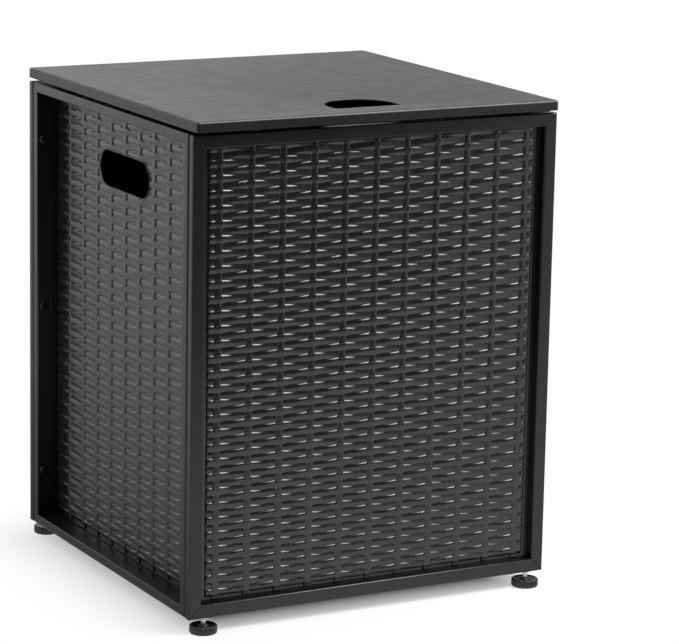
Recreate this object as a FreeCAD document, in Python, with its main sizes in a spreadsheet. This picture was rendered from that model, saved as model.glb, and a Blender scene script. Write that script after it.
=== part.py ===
"""Tank cover side table: a steel box of woven-look panels with a lift-off tray lid.

The box stands over a gas tank. A front and a rear frame of mitred tube are bolted to two
deeper side frames, each frame carries one sheet pressed to look like wicker, and four
screw feet level the box. The lid is a folded tray with a half-round hand hole.

Millimetres. +Z is up, the front faces -Y, and the origin is on the floor under the middle.
"""
import FreeCAD, Part
import math
import os
import Sketcher

os.makedirs("parts", exist_ok=True)
doc = FreeCAD.newDocument("tank_cover_table")

SIZES = [
    ("overall_height", 500.0, "floor to table top"),
    ("body_width", 400.0, "over the outer faces of the side frames"),
    ("body_depth", 390.6, "over the front and rear frames"),
    ("frame_height", 15.0, "floor to the underside of the frames"),
    ("tube_face", 13.5, "front and rear frame tube, width seen from the front"),
    ("tube_depth", 9.0, "front and rear frame tube, front to back"),
    ("side_face", 10.0, "side frame tube, width seen from the side"),
    ("side_depth", 22.0, "side frame tube, outside to inside"),
    ("tube_wall", 1.0, "wall of every tube"),
    ("frame_gap", 2.0, "between a front or rear frame and the side frames"),
    ("panel_sheet", 0.8, "steel of the pressed panels"),
    ("panel_end_lap", 8.0, "panel over the rails it is welded to"),
    ("panel_side_lap", 1.3, "panel over the stiles, clear of the screw inserts"),
    ("weave_relief", 3.0, "how far a strand in front of a stake stands out of the flat sheet"),
    ("weave_dip", 2.0, "how far a strand behind a stake lies below one in front"),
    ("stake_pitch", 34.2, "between two upright stakes of the weave"),
    ("strand_pitch", 7.25, "between two level strands of the weave"),
    ("weave_side_margin", 7.5, "flat sheet between the weave and a stile"),
    ("weave_end_margin", 4.0, "least flat sheet between the weave and a rail"),
    ("handle_length", 118.0, "hand slot in a side panel, end to end"),
    ("handle_height", 38.0, "hand slot in a side panel, top to bottom"),
    ("handle_drop", 68.0, "top of the frames down to the middle of the hand slot"),
    ("lid_side_inset", 1.5, "side of the tray lid inside the side of the box"),
    ("lid_overhang", 4.7, "tray lid past the front and the rear of the box"),
    ("lid_skirt", 10.2, "height of the tray's folded edge"),
    ("lid_sheet", 1.0, "steel of the tray"),
    ("lid_gap", 3.0, "open gap between the skirt and the frames"),
    ("lid_bend", 1.2, "outside radius of the folds"),
    ("hand_hole_width", 72.0, "half-round hand hole, side to side"),
    ("hand_hole_depth", 50.0, "half-round hand hole, front to rear"),
    ("hand_hole_setback", 30.0, "front edge of the lid to the hand hole"),
    ("bumper_radius", 6.0, "rubber bumper under the lid"),
    ("bumper_spread", 120.0, "bumper from the middle of a side rail"),
    ("guide_leg", 30.0, "leg of a corner guide under the lid"),
    ("guide_sheet", 1.5, "steel of a corner guide"),
    ("guide_drop", 14.0, "corner guide below the top of the frames"),
    ("guide_clearance", 1.5, "corner guide to the panels inside the box"),
    ("screw_spread", 177.0, "upper and lower frame screws from the middle one"),
    ("screw_inset", 7.0, "frame screw from the outer face of a side frame"),
    ("screw_radius", 2.5, "shank of the frame screws"),
    ("screw_length", 16.0, "under the head"),
    ("screw_slack", 0.25, "shank to the hole in the side frame"),
    ("head_radius", 4.8, "head of the frame screws"),
    ("head_height", 2.8, "head of the frame screws"),
    ("key_radius", 1.75, "hexagon socket, across corners, halved"),
    ("key_depth", 1.6, "hexagon socket"),
    ("insert_radius", 3.4, "threaded insert in the wall of a stile"),
    ("insert_flange_radius", 4.9, "threaded insert, in the gap between the frames"),
    ("insert_length", 5.8, "threaded insert inside the stile"),
    ("thread_slack", 0.05, "stud or screw to the bore it turns in"),
    ("foot_inset", 17.7, "side face to the middle of a foot"),
    ("stud_radius", 2.5, "steel stud of a foot"),
    ("stud_reach", 6.3, "stud above the underside of the frame"),
    ("stud_seat", 2.5, "plastic under the stud in the foot"),
    ("bush_radius", 3.4, "threaded bush in the bottom rail"),
    ("bush_length", 6.0, "threaded bush above the underside of the frame"),
    ("bush_flange_radius", 4.3, "threaded bush below the rail"),
    ("bush_flange", 0.9, "threaded bush below the rail"),
    ("pad_radius", 13.8, "plastic foot"),
    ("pad_height", 8.5, "plastic foot at its hub"),
    ("pad_grip", 8.0, "height of the fluted side of a foot"),
    ("pad_hub_radius", 5.0, "hub of a foot"),
    ("pad_bevel", 1.0, "bevel round the top of the grip"),
    ("flute_depth", 0.8, "flutes round a foot"),
    ("flute_count", 18.0, "flutes round a foot"),
]
# Small round pieces that repeat have this many flats, so that the whole stays light
SEEN_FLATS = 12
HIDDEN_FLATS = 8

sizes = doc.addObject("Spreadsheet::Sheet", "Sizes")
for row, (alias, size, note) in enumerate(SIZES, start=1):
    sizes.set(f"A{row}", alias)
    sizes.set(f"B{row}", str(size))
    sizes.set(f"C{row}", note)
    sizes.setAlias(f"B{row}", alias)
doc.recompute()


def value(expression):
    """The present size of an expression in the sheet's names."""
    return float(sizes.evalExpression(str(expression)))


# Heights and distances that several pieces share, as expressions in the sheet's names
BODY_TOP = "(Sizes.overall_height - Sizes.lid_skirt - Sizes.lid_gap)"
BODY_MIDDLE = f"(({BODY_TOP} + Sizes.frame_height) / 2)"
FRAME_LENGTH = f"({BODY_TOP} - Sizes.frame_height)"
FRONT_MIDDLE = "((Sizes.body_depth - Sizes.tube_depth) / 2)"
FRONT_INSIDE = "(Sizes.body_depth / 2 - Sizes.tube_depth)"
SIDE_MIDDLE = "((Sizes.body_width - Sizes.side_depth) / 2)"
SIDE_INSIDE = "(Sizes.body_width / 2 - Sizes.side_depth)"
SIDE_FRONT = f"({FRONT_INSIDE} - Sizes.frame_gap)"
SCREW_SIDE = "(Sizes.body_width / 2 - Sizes.screw_inset)"
FOOT_SIDE = "(Sizes.body_width / 2 - Sizes.foot_inset)"
LID_UNDERSIDE = "(Sizes.overall_height - Sizes.lid_sheet)"
LID_WIDTH = "(Sizes.body_width - 2 * Sizes.lid_side_inset)"
LID_DEPTH = "(Sizes.body_depth + 2 * Sizes.lid_overhang)"

Z_AXIS = FreeCAD.Vector(0, 0, 1)
Y_AXIS = FreeCAD.Vector(0, 1, 0)
CORNERS = {
    "front_left": (-1, -1),
    "front_right": (1, -1),
    "rear_left": (-1, 1),
    "rear_right": (1, 1),
}
pieces = []


def keep(piece, label):
    """Give a finished piece its name and put it on the list of files to write."""
    piece.Label = label
    pieces.append(piece)
    return piece


def place(piece, x, y, z, rotation=None):
    """Bind a piece's place to the sheet, with a fixed turn."""
    if rotation is not None:
        piece.Placement = FreeCAD.Placement(FreeCAD.Vector(), rotation)
    for axis, expression in (("x", x), ("y", y), ("z", z)):
        piece.setExpression(f"Placement.Base.{axis}", str(expression))
    return piece


def turned(about_y=0, about_z=0):
    """A turn about Y and then about Z, in degrees."""
    return FreeCAD.Rotation(Z_AXIS, about_z).multiply(FreeCAD.Rotation(Y_AXIS, about_y))


def sketch_on(body, name, role, height="0"):
    """A sketch on one of the body's own origin planes, raised by an expression."""
    plane = [plane for plane in body.Origin.OriginFeatures if plane.Role == role][0]
    sketch = body.newObject("Sketcher::SketchObject", name)
    sketch.AttachmentSupport = [(plane, "")]
    sketch.MapMode = "FlatFace"
    sketch.setExpression("AttachmentOffset.Base.z", str(height))
    return sketch


def bind(sketch, kind, size, *where):
    """A dimension whose value follows an expression."""
    index = sketch.addConstraint(Sketcher.Constraint(kind, *where, value(size)))
    sketch.setExpression(f"Constraints[{index}]", str(size))


def draw_polygon(sketch, corners):
    """A closed outline with each corner held to the sheet's sizes."""
    first = sketch.GeometryCount
    points = [FreeCAD.Vector(value(x), value(y), 0) for x, y in corners]
    count = len(corners)
    for index in range(count):
        sketch.addGeometry(Part.LineSegment(points[index], points[(index + 1) % count]), False)
    for index in range(count):
        following = first + (index + 1) % count
        sketch.addConstraint(Sketcher.Constraint("Coincident", first + index, 2, following, 1))
        bind(sketch, "DistanceX", corners[index][0], -1, 1, first + index, 1)
        bind(sketch, "DistanceY", corners[index][1], -1, 1, first + index, 1)


def draw_rectangle(sketch, width, depth):
    """A rectangle about the sketch's origin."""
    x = f"{width} / 2"
    y = f"{depth} / 2"
    draw_polygon(sketch, [(f"-{x}", f"-{y}"), (x, f"-{y}"), (x, y), (f"-{x}", y)])


def ring_corners(radii, x="0", y="0"):
    """Corners on a circle, one for each radius in the list, even about both axes."""
    corners = []
    for step, radius in enumerate(radii):
        angle = 2 * math.pi * (step + 0.5) / len(radii)
        corners.append((f"{x} + {radius} * {math.cos(angle):.6f}",
                        f"{y} + {radius} * {math.sin(angle):.6f}"))
    return corners


def draw_ring(sketch, radius, flats, x="0", y="0"):
    """A round outline with a few flats."""
    draw_polygon(sketch, ring_corners([radius] * flats, x, y))


def bore_for(radius, flats):
    """Corner radius of a bore whose flats clear a round shaft by the thread slack."""
    return f"({radius} + Sizes.thread_slack) / {math.cos(math.pi / flats):.6f}"


def pad(body, sketch, length, symmetric=False):
    """Raise a sketch into solid along its normal, or evenly about its plane."""
    feature = body.newObject("PartDesign::Pad", "Pad")
    feature.Profile = sketch
    feature.SideType = "Symmetric" if symmetric else "One side"
    feature.setExpression("Length", str(length))
    return feature


def pocket(body, sketch, length=None, symmetric=False, upwards=False):
    """Cut a sketch out of the solid, to a length or right through, and check that it cut."""
    doc.recompute()
    before = body.Shape.Volume
    feature = body.newObject("PartDesign::Pocket", "Pocket")
    feature.Profile = sketch
    feature.SideType = "Symmetric" if symmetric else "One side"
    feature.Reversed = upwards
    if length is None:
        feature.Type = "ThroughAll"
    else:
        feature.setExpression("Length", str(length))
    doc.recompute()
    if not body.Shape.Volume < before - 1e-3:
        raise RuntimeError(f"{sketch.Label} cuts nothing")
    return feature


def raise_ring(body, name, radius, flats, low, high):
    """A round layer of a body between two heights."""
    sketch = sketch_on(body, name, "XY_Plane", low)
    draw_ring(sketch, radius, flats)
    pad(body, sketch, f"({high}) - ({low})")


def loft_between(body, lower, upper):
    """Join two outlines with straight sides."""
    feature = body.newObject("PartDesign::AdditiveLoft", "Loft")
    feature.Profile = lower
    feature.Sections = [upper]
    feature.Ruled = True


def taper_ring(body, name, radii, flats, low, high):
    """A round layer that narrows or widens between two heights."""
    ends = []
    for end, radius, height in zip(("Low", "High"), radii, (low, high)):
        sketch = sketch_on(body, name + end, "XY_Plane", height)
        draw_ring(sketch, radius, flats)
        ends.append(sketch)
    loft_between(body, *ends)


def bore_down(body, radius, flats, top, length):
    """A round hole from a height downwards."""
    sketch = sketch_on(body, "Bore", "XY_Plane", top)
    draw_ring(sketch, radius, flats)
    pocket(body, sketch, length)


# Frames

def mitred_tube(name, length, face, depth):
    """A length of rectangular tube cut at 45 degrees at both ends.

    Its outer edge lies on the X axis, the tube reaches down from there by its face width,
    and its depth is even about the XZ plane.
    """
    body = doc.addObject("PartDesign::Body", name)
    half = f"({length}) / 2"
    outline = sketch_on(body, "Outline", "XZ_Plane")
    draw_polygon(outline, [
        (f"-{half}", "0"),
        (half, "0"),
        (f"{half} - {face}", f"-{face}"),
        (f"-{half} + {face}", f"-{face}"),
    ])
    pad(body, outline, depth, symmetric=True)
    wall = "Sizes.tube_wall"
    hollow = sketch_on(body, "Hollow", "XZ_Plane")
    draw_polygon(hollow, [
        (f"-{half} + {wall}", f"-{wall}"),
        (f"{half} - {wall}", f"-{wall}"),
        (f"{half} - {face} + {wall}", f"-{face} + {wall}"),
        (f"-{half} + {face} - {wall}", f"-{face} + {wall}"),
    ])
    pocket(body, hollow, f"{depth} - 2 * {wall}", symmetric=True)
    return body


SCREW_PLACES = ["-Sizes.screw_spread", "0", "Sizes.screw_spread"]


def drill_for_inserts(stile):
    """Three holes in the inner wall of a front or rear stile."""
    holes = sketch_on(stile, "InsertHoles", "XZ_Plane")
    for along in SCREW_PLACES:
        draw_ring(holes, "Sizes.insert_radius", HIDDEN_FLATS, along, "-Sizes.screw_inset")
    pocket(stile, holes, "Sizes.tube_depth / 2 + Sizes.tube_wall")


def drill_for_screws(stile):
    """Three holes right through a side stile, off its middle towards the outside."""
    holes = sketch_on(stile, "ScrewHoles", "XY_Plane")
    for along in SCREW_PLACES:
        draw_ring(holes, "(Sizes.screw_radius + Sizes.screw_slack)", HIDDEN_FLATS,
                  along, "Sizes.side_depth / 2 - Sizes.screw_inset")
    pocket(stile, holes)


def drill_for_bushes(rail):
    """A hole for the bush of each foot in the outer wall of a bottom rail."""
    holes = sketch_on(rail, "BushHoles", "XY_Plane")
    for side in ("-", ""):
        draw_ring(holes, "Sizes.bush_radius", HIDDEN_FLATS, f"{side}{FOOT_SIDE}")
    pocket(rail, holes, "Sizes.tube_wall * 2")


def make_front_frame(name, facing):
    """Two rails and two stiles in a plane across the body; facing is -1 in front."""
    spin = 0 if facing < 0 else 180
    y = f"{facing} * {FRONT_MIDDLE}"
    face = "Sizes.tube_face"
    depth = "Sizes.tube_depth"
    edge = "Sizes.body_width / 2"
    rails = {"top_rail": (0, BODY_TOP), "bottom_rail": (180, "Sizes.frame_height")}
    for rail, (tilt, height) in rails.items():
        tube = mitred_tube(f"{name}_{rail}", "Sizes.body_width", face, depth)
        if rail == "bottom_rail":
            drill_for_bushes(tube)
        place(tube, "0", y, height, turned(tilt, spin))
        keep(tube, f"{name}_{rail}")
    for side, across in (("left", -1), ("right", 1)):
        tube = mitred_tube(f"{name}_{side}_stile", FRAME_LENGTH, face, depth)
        drill_for_inserts(tube)
        tilt = 90 * across * (-facing)
        place(tube, f"{across} * {edge}", y, BODY_MIDDLE, turned(tilt, spin))
        keep(tube, f"{name}_{side}_stile")


def make_side_frame(name, across):
    """Two rails and two stiles in a plane along the body; across is -1 on the left."""
    spin = -90 * across
    x = f"{across} * {SIDE_MIDDLE}"
    face = "Sizes.side_face"
    depth = "Sizes.side_depth"
    rails = {"top_rail": (0, BODY_TOP), "bottom_rail": (180, "Sizes.frame_height")}
    for rail, (tilt, height) in rails.items():
        tube = mitred_tube(f"{name}_side_{rail}", f"2 * {SIDE_FRONT}", face, depth)
        place(tube, x, "0", height, turned(tilt, spin))
        keep(tube, f"{name}_side_{rail}")
    for end, along in (("front", -1), ("rear", 1)):
        tube = mitred_tube(f"{name}_side_{end}_stile", FRAME_LENGTH, face, depth)
        drill_for_screws(tube)
        tilt = -90 * across * along
        place(tube, x, f"{along} * {SIDE_FRONT}", BODY_MIDDLE, turned(tilt, spin))
        keep(tube, f"{name}_side_{end}_stile")


# Woven-look panels

def spaced(half_span, pitch):
    """Places a pitch apart, even about the middle, with one on the middle."""
    reach = int((half_span - pitch * 0.05) / pitch)
    return [pitch * step for step in range(-reach, reach + 1)]


def rows_between(low, high, pitch):
    """Middles of the rows that fit between two heights, packed about the middle."""
    count = int((high - low) / pitch)
    first = (low + high) / 2 - pitch * (count - 1) / 2
    return [first + pitch * row for row in range(count)]


def woven_sheet(half_width, low, high, half_field, field_low, field_high):
    """A thin sheet with the face of a plain weave pressed out of its front.

    Every crossing of a strand and a stake is one point. Where the strand passes in front of
    the stake the point stands out by the relief, and where it passes behind the point is
    lower by the dip, so the two take turns like the squares of a chessboard. Flat facets
    join the points. The front looks along -Y, and its flat part is on the XZ plane.
    """
    relief = value("Sizes.weave_relief")
    behind_stake = relief - value("Sizes.weave_dip")
    back = value("Sizes.panel_sheet")
    pitch = value("Sizes.strand_pitch")
    stakes = spaced(half_field, value("Sizes.stake_pitch"))
    strands = rows_between(field_low, field_high, pitch)
    columns = [-half_field] + stakes + [half_field]
    rows = [strands[0] - pitch] + strands + [strands[-1] + pitch]
    middle_stake = 1 + len(stakes) // 2

    def passes_in_front(column, row):
        return (column - middle_stake + row) % 2 == 0

    def point(column, row):
        edge = column in (0, len(columns) - 1) or row in (0, len(rows) - 1)
        out = relief if passes_in_front(column, row) else behind_stake
        return FreeCAD.Vector(columns[column], 0.0 if edge else -out, rows[row])

    def facet(*corners):
        return Part.Face(Part.makePolygon(list(corners) + [corners[0]]))

    facets = []
    for column in range(len(columns) - 1):
        for row in range(len(rows) - 1):
            near = [point(column, row), point(column + 1, row)]
            far = [point(column, row + 1), point(column + 1, row + 1)]
            if passes_in_front(column, row):
                facets.append(facet(near[0], near[1], far[0]))
                facets.append(facet(near[1], far[1], far[0]))
            else:
                facets.append(facet(near[0], near[1], far[1]))
                facets.append(facet(near[0], far[1], far[0]))

    last_column = len(columns) - 1
    last_row = len(rows) - 1
    ring = [point(column, 0) for column in range(last_column)]
    ring += [point(last_column, row) for row in range(last_row)]
    ring += [point(column, last_row) for column in range(last_column, 0, -1)]
    ring += [point(0, row) for row in range(last_row, 0, -1)]
    rim = [
        FreeCAD.Vector(-half_width, 0, low),
        FreeCAD.Vector(half_width, 0, low),
        FreeCAD.Vector(half_width, 0, high),
        FreeCAD.Vector(-half_width, 0, high),
    ]
    behind = [corner + FreeCAD.Vector(0, back, 0) for corner in rim]
    margin = Part.Face([Part.makePolygon(rim + [rim[0]]), Part.makePolygon(ring + [ring[0]])],
                       "Part::FaceMakerBullseye")
    facets.append(margin)
    facets.append(facet(*behind))
    for index in range(4):
        following = (index + 1) % 4
        facets.append(facet(rim[index], rim[following], behind[following], behind[index]))
    shell = Part.makeShell(facets)
    shell.sewShape()
    solid = Part.makeSolid(shell)
    if solid.Volume < 0:
        solid.reverse()
    return solid


def make_panel(label, shape, x, y, spin):
    """Set a woven sheet against the inner face of its frame."""
    panel = doc.addObject("Part::Feature", label)
    panel.Shape = shape
    place(panel, x, y, "0", turned(0, spin))
    keep(panel, label)


def panel_sizes(opening_half, face):
    """Half width, ends and weave field of a panel in an opening between two stiles."""
    low = value(f"Sizes.frame_height + {face}")
    high = value(f"{BODY_TOP} - {face}")
    end_lap = value("Sizes.panel_end_lap")
    end_margin = value("Sizes.weave_end_margin")
    return {
        "half_width": opening_half + value("Sizes.panel_side_lap"),
        "low": low - end_lap,
        "high": high + end_lap,
        "half_field": opening_half - value("Sizes.weave_side_margin"),
        "field_low": low + end_margin,
        "field_high": high - end_margin,
    }


def hand_slot():
    """The round-ended hole for a hand in a side panel, longer than the panel is thick."""
    radius = value("Sizes.handle_height / 2")
    straight = value("Sizes.handle_length / 2") - radius
    height = value(f"{BODY_TOP} - Sizes.handle_drop")
    reach = value("Sizes.weave_relief + Sizes.panel_sheet")
    start = FreeCAD.Vector(0, -2 * reach, height)
    bar = Part.makeBox(2 * straight, 4 * reach, 2 * radius,
                       start - FreeCAD.Vector(straight, 0, radius))
    ends = [Part.makeCylinder(radius, 4 * reach, start + FreeCAD.Vector(x, 0, 0), Y_AXIS)
            for x in (-straight, straight)]
    return bar.fuse(ends)


def make_panels():
    """One sheet in each frame, the two side ones with a hand slot."""
    front_half = value("Sizes.body_width / 2 - Sizes.tube_face")
    front = woven_sheet(**panel_sizes(front_half, "Sizes.tube_face"))
    make_panel("front_panel", front, "0", f"-{FRONT_INSIDE}", 0)
    make_panel("rear_panel", front, "0", FRONT_INSIDE, 180)
    side_half = value(f"{SIDE_FRONT} - Sizes.side_face")
    side = woven_sheet(**panel_sizes(side_half, "Sizes.side_face")).cut(hand_slot())
    make_panel("left_panel", side.Solids[0], f"-{SIDE_INSIDE}", "0", -90)
    make_panel("right_panel", side.Solids[0], SIDE_INSIDE, "0", 90)


# Fasteners

def make_group(label, shape, placements):
    """Identical pieces as one group of separate solids."""
    group = doc.addObject("Part::Feature", label)
    group.Shape = Part.makeCompound([shape.transformed(at.toMatrix(), True) for at in placements])
    group.Placement = FreeCAD.Placement()
    keep(group, label)


def frame_screw():
    """A button head screw, its head above the XY plane and its shank below."""
    body = doc.addObject("PartDesign::Body", "frame_screw")
    rim = "Sizes.head_height / 3"
    crown = "Sizes.head_radius * 0.55"
    raise_ring(body, "Shank", "Sizes.screw_radius", HIDDEN_FLATS, "-Sizes.screw_length", "0")
    raise_ring(body, "Rim", "Sizes.head_radius", SEEN_FLATS, "0", rim)
    taper_ring(body, "Crown", ("Sizes.head_radius", crown), SEEN_FLATS, rim, "Sizes.head_height")
    bore_down(body, "Sizes.key_radius", 6, "Sizes.head_height", "Sizes.key_depth")
    return body.Shape


def flanged_insert(name, radius, length, flange_radius, flange, bore):
    """A threaded insert: its flange above the XY plane, its barrel below."""
    body = doc.addObject("PartDesign::Body", name)
    raise_ring(body, "Barrel", radius, HIDDEN_FLATS, f"-{length}", "0")
    raise_ring(body, "Flange", flange_radius, HIDDEN_FLATS, "0", flange)
    bore_down(body, bore_for(bore, HIDDEN_FLATS), HIDDEN_FLATS, flange, f"{length} + {flange}")
    return body.Shape


def make_fasteners():
    """Three screws at each upright edge of the box, and the inserts that they turn into."""
    screw_at = []
    insert_at = []
    inner_face = value(f"{SIDE_FRONT} - Sizes.side_face")
    stile_back = value(FRONT_INSIDE)
    for across, along in CORNERS.values():
        towards_middle = FreeCAD.Rotation(Z_AXIS, FreeCAD.Vector(0, -along, 0))
        for height in SCREW_PLACES:
            x = across * value(SCREW_SIDE)
            z = value(f"{BODY_MIDDLE} + {height}")
            at = FreeCAD.Vector(x, along * inner_face, z)
            screw_at.append(FreeCAD.Placement(at, towards_middle))
            at = FreeCAD.Vector(x, along * stile_back, z)
            insert_at.append(FreeCAD.Placement(at, towards_middle))
    make_group("frame_screws", frame_screw(), screw_at)
    insert = flanged_insert("screw_insert", "Sizes.insert_radius", "Sizes.insert_length",
                            "Sizes.insert_flange_radius", "Sizes.frame_gap",
                            "Sizes.screw_radius")
    make_group("screw_inserts", insert, insert_at)


# Levelling feet

def make_stud(label, x, y):
    """The steel stud of a foot, with a bevelled tip."""
    stud = doc.addObject("PartDesign::Body", label)
    radius = "Sizes.stud_radius"
    bevel = "Sizes.stud_radius * 0.2"
    top = "Sizes.frame_height + Sizes.stud_reach"
    raise_ring(stud, "Shaft", radius, SEEN_FLATS, "Sizes.stud_seat", f"{top} - {bevel}")
    taper_ring(stud, "Tip", (radius, f"({radius} - {bevel})"), SEEN_FLATS,
               f"{top} - {bevel}", top)
    place(stud, x, y, "0")
    keep(stud, label)


def fluted_outline(foot, name, height, inset):
    """The outline of the grip at a height: ridges and flutes by turns."""
    sketch = sketch_on(foot, name, "XY_Plane", height)
    ridge = f"(Sizes.pad_radius - {inset})"
    flute = f"(Sizes.pad_radius - Sizes.flute_depth - {inset})"
    draw_polygon(sketch, ring_corners([ridge, flute] * int(value("Sizes.flute_count"))))
    return sketch


def make_foot_pad(label, x, y):
    """A plastic foot with a fluted grip, a bevelled shoulder and a hub round its stud."""
    foot = doc.addObject("PartDesign::Body", label)
    shoulder = "Sizes.pad_grip - Sizes.pad_bevel"
    pad(foot, fluted_outline(foot, "Grip", "0", "0"), shoulder)
    loft_between(foot, fluted_outline(foot, "BevelLow", shoulder, "0"),
                 fluted_outline(foot, "BevelHigh", "Sizes.pad_grip", "Sizes.pad_bevel"))
    raise_ring(foot, "Hub", "Sizes.pad_hub_radius", SEEN_FLATS, "Sizes.pad_grip",
               "Sizes.pad_height")
    bore_down(foot, bore_for("Sizes.stud_radius", SEEN_FLATS), SEEN_FLATS, "Sizes.pad_height",
              "Sizes.pad_height - Sizes.stud_seat")
    place(foot, x, y, "0")
    keep(foot, label)


def make_feet():
    """Four screw feet, each turning in a bush in a bottom rail."""
    bush_at = []
    flange_down = FreeCAD.Rotation(Y_AXIS, 180)
    for corner, (across, along) in CORNERS.items():
        x = f"{across} * {FOOT_SIDE}"
        y = f"{along} * {FRONT_MIDDLE}"
        at = FreeCAD.Vector(value(x), value(y), value("Sizes.frame_height"))
        bush_at.append(FreeCAD.Placement(at, flange_down))
        make_stud(f"foot_stud_{corner}", x, y)
        make_foot_pad(f"foot_pad_{corner}", x, y)
    bush = flanged_insert("foot_bush", "Sizes.bush_radius", "Sizes.bush_length",
                          "Sizes.bush_flange_radius", "Sizes.bush_flange", "Sizes.stud_radius")
    make_group("foot_bushes", bush, bush_at)


# Lid

def edges_where(shape, wanted):
    """Names of the edges whose two ends pass a test."""
    names = []
    for index, edge in enumerate(shape.Edges, start=1):
        ends = [edge.valueAt(edge.FirstParameter), edge.valueAt(edge.LastParameter)]
        if all(wanted(point) for point in ends):
            names.append(f"Edge{index}")
    return names


def make_lid_tray():
    """A folded steel tray, open below, with a half-round hand hole near its front edge."""
    lid = doc.addObject("PartDesign::Body", "lid_tray")
    outline = sketch_on(lid, "Outline", "XY_Plane")
    draw_rectangle(outline, LID_WIDTH, LID_DEPTH)
    block = pad(lid, outline, "Sizes.lid_skirt")
    doc.recompute()
    half_width = value(f"{LID_WIDTH} / 2")
    half_depth = value(f"{LID_DEPTH} / 2")
    top = value("Sizes.lid_skirt")

    def on_fold(point):
        corner = abs(abs(point.x) - half_width) < 1e-6 and abs(abs(point.y) - half_depth) < 1e-6
        return corner and point.z > -1e-6

    folds = [name for name in edges_where(lid.Shape, on_fold)
             if lid.Shape.getElement(name).CenterOfMass.z > top / 4]
    bends = lid.newObject("PartDesign::Fillet", "Bends")
    bends.Base = (block, folds)
    bends.setExpression("Radius", "Sizes.lid_bend")

    inside = sketch_on(lid, "Inside", "XY_Plane")
    draw_rectangle(inside, f"({LID_WIDTH} - 2 * Sizes.lid_sheet)",
                   f"({LID_DEPTH} - 2 * Sizes.lid_sheet)")
    pocket(lid, inside, "Sizes.lid_skirt - Sizes.lid_sheet", upwards=True)

    hole = sketch_on(lid, "HandHole", "XY_Plane")
    half = "Sizes.hand_hole_width / 2"
    front = f"-{LID_DEPTH} / 2 + Sizes.hand_hole_setback"
    shoulder = f"{front} + Sizes.hand_hole_depth - {half}"
    left = FreeCAD.Vector(value(f"-{half}"), value(front), 0)
    right = FreeCAD.Vector(value(half), value(front), 0)
    middle = FreeCAD.Vector(0, value(shoulder), 0)
    rise = FreeCAD.Vector(0, value(f"{shoulder} - ({front})"), 0)
    hole.addGeometry(Part.LineSegment(left, right), False)
    hole.addGeometry(Part.LineSegment(right, right + rise), False)
    circle = Part.Circle(middle, Z_AXIS, value(half))
    hole.addGeometry(Part.ArcOfCircle(circle, 0, math.pi), False)
    hole.addGeometry(Part.LineSegment(left + rise, left), False)
    for before, after in ((0, 1), (1, 2), (2, 3), (3, 0)):
        hole.addConstraint(Sketcher.Constraint("Coincident", before, 2, after, 1))
    bind(hole, "DistanceX", f"-{half}", -1, 1, 0, 1)
    bind(hole, "DistanceY", front, -1, 1, 0, 1)
    bind(hole, "DistanceX", half, -1, 1, 0, 2)
    bind(hole, "DistanceY", front, -1, 1, 0, 2)
    bind(hole, "DistanceX", half, -1, 1, 1, 2)
    bind(hole, "DistanceY", shoulder, -1, 1, 1, 2)
    bind(hole, "DistanceX", "0", -1, 1, 2, 3)
    bind(hole, "DistanceY", shoulder, -1, 1, 2, 3)
    bind(hole, "DistanceY", shoulder, -1, 1, 3, 1)
    pocket(lid, hole, upwards=True)
    place(lid, "0", "0", "Sizes.overall_height - Sizes.lid_skirt")
    keep(lid, "lid_tray")


def corner_guide():
    """An angle that hangs inside a corner of the box; its corner is at the origin."""
    body = doc.addObject("PartDesign::Body", "corner_guide")
    section = sketch_on(body, "Section", "XY_Plane")
    leg = "Sizes.guide_leg"
    sheet = "Sizes.guide_sheet"
    draw_polygon(section, [
        ("0", "0"), (leg, "0"), (leg, sheet), (sheet, sheet), (sheet, leg), ("0", leg),
    ])
    pad(body, section, f"{LID_UNDERSIDE} - {BODY_TOP} + Sizes.guide_drop")
    doc.recompute()
    return body.Shape


def lid_bumper():
    """A rubber bumper as tall as the space between the frames and the tray."""
    body = doc.addObject("PartDesign::Body", "lid_bumper")
    taper_ring(body, "Bumper", ("Sizes.bumper_radius * 0.85", "Sizes.bumper_radius"),
               HIDDEN_FLATS, "0", f"({LID_UNDERSIDE} - {BODY_TOP})")
    doc.recompute()
    return body.Shape


def make_lid():
    """The tray with the guides and bumpers fixed under it."""
    make_lid_tray()
    foot = value(f"{BODY_TOP} - Sizes.guide_drop")
    x = value(f"{SIDE_INSIDE} - Sizes.panel_sheet - Sizes.guide_clearance")
    y = value(f"{FRONT_INSIDE} - Sizes.panel_sheet - Sizes.guide_clearance")
    guide_at = []
    bumper_at = []
    for across, along in CORNERS.values():
        corner = FreeCAD.Vector(across * x, along * y, foot)
        quarter = {(-1, -1): 0, (1, -1): 90, (1, 1): 180, (-1, 1): 270}[(across, along)]
        guide_at.append(FreeCAD.Placement(corner, FreeCAD.Rotation(Z_AXIS, quarter)))
        at = FreeCAD.Vector(across * value(SIDE_MIDDLE), along * value("Sizes.bumper_spread"),
                            value(BODY_TOP))
        bumper_at.append(FreeCAD.Placement(at, FreeCAD.Rotation()))
    make_group("lid_corner_guides", corner_guide(), guide_at)
    make_group("lid_bumpers", lid_bumper(), bumper_at)


make_front_frame("front", -1)
make_front_frame("rear", 1)
make_side_frame("left", -1)
make_side_frame("right", 1)
make_panels()
make_fasteners()
make_feet()
make_lid()
doc.recompute()

# Nothing is written unless every feature worked and every piece is a sound solid
for feature in doc.Objects:
    if "Invalid" in feature.State or "Error" in feature.State:
        raise RuntimeError(f"{feature.Label} failed")
for piece in pieces:
    if piece.Shape.isNull() or not piece.Shape.isValid() or not piece.Shape.Solids:
        raise RuntimeError(f"{piece.Label} is not a sound solid")
for piece in pieces:
    piece.Shape.exportStep(f"parts/{piece.Label}.step")
    print(f"{piece.Label:26} {len(piece.Shape.Solids):3} solids {piece.Shape.Volume:12.1f} mm3")
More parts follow.
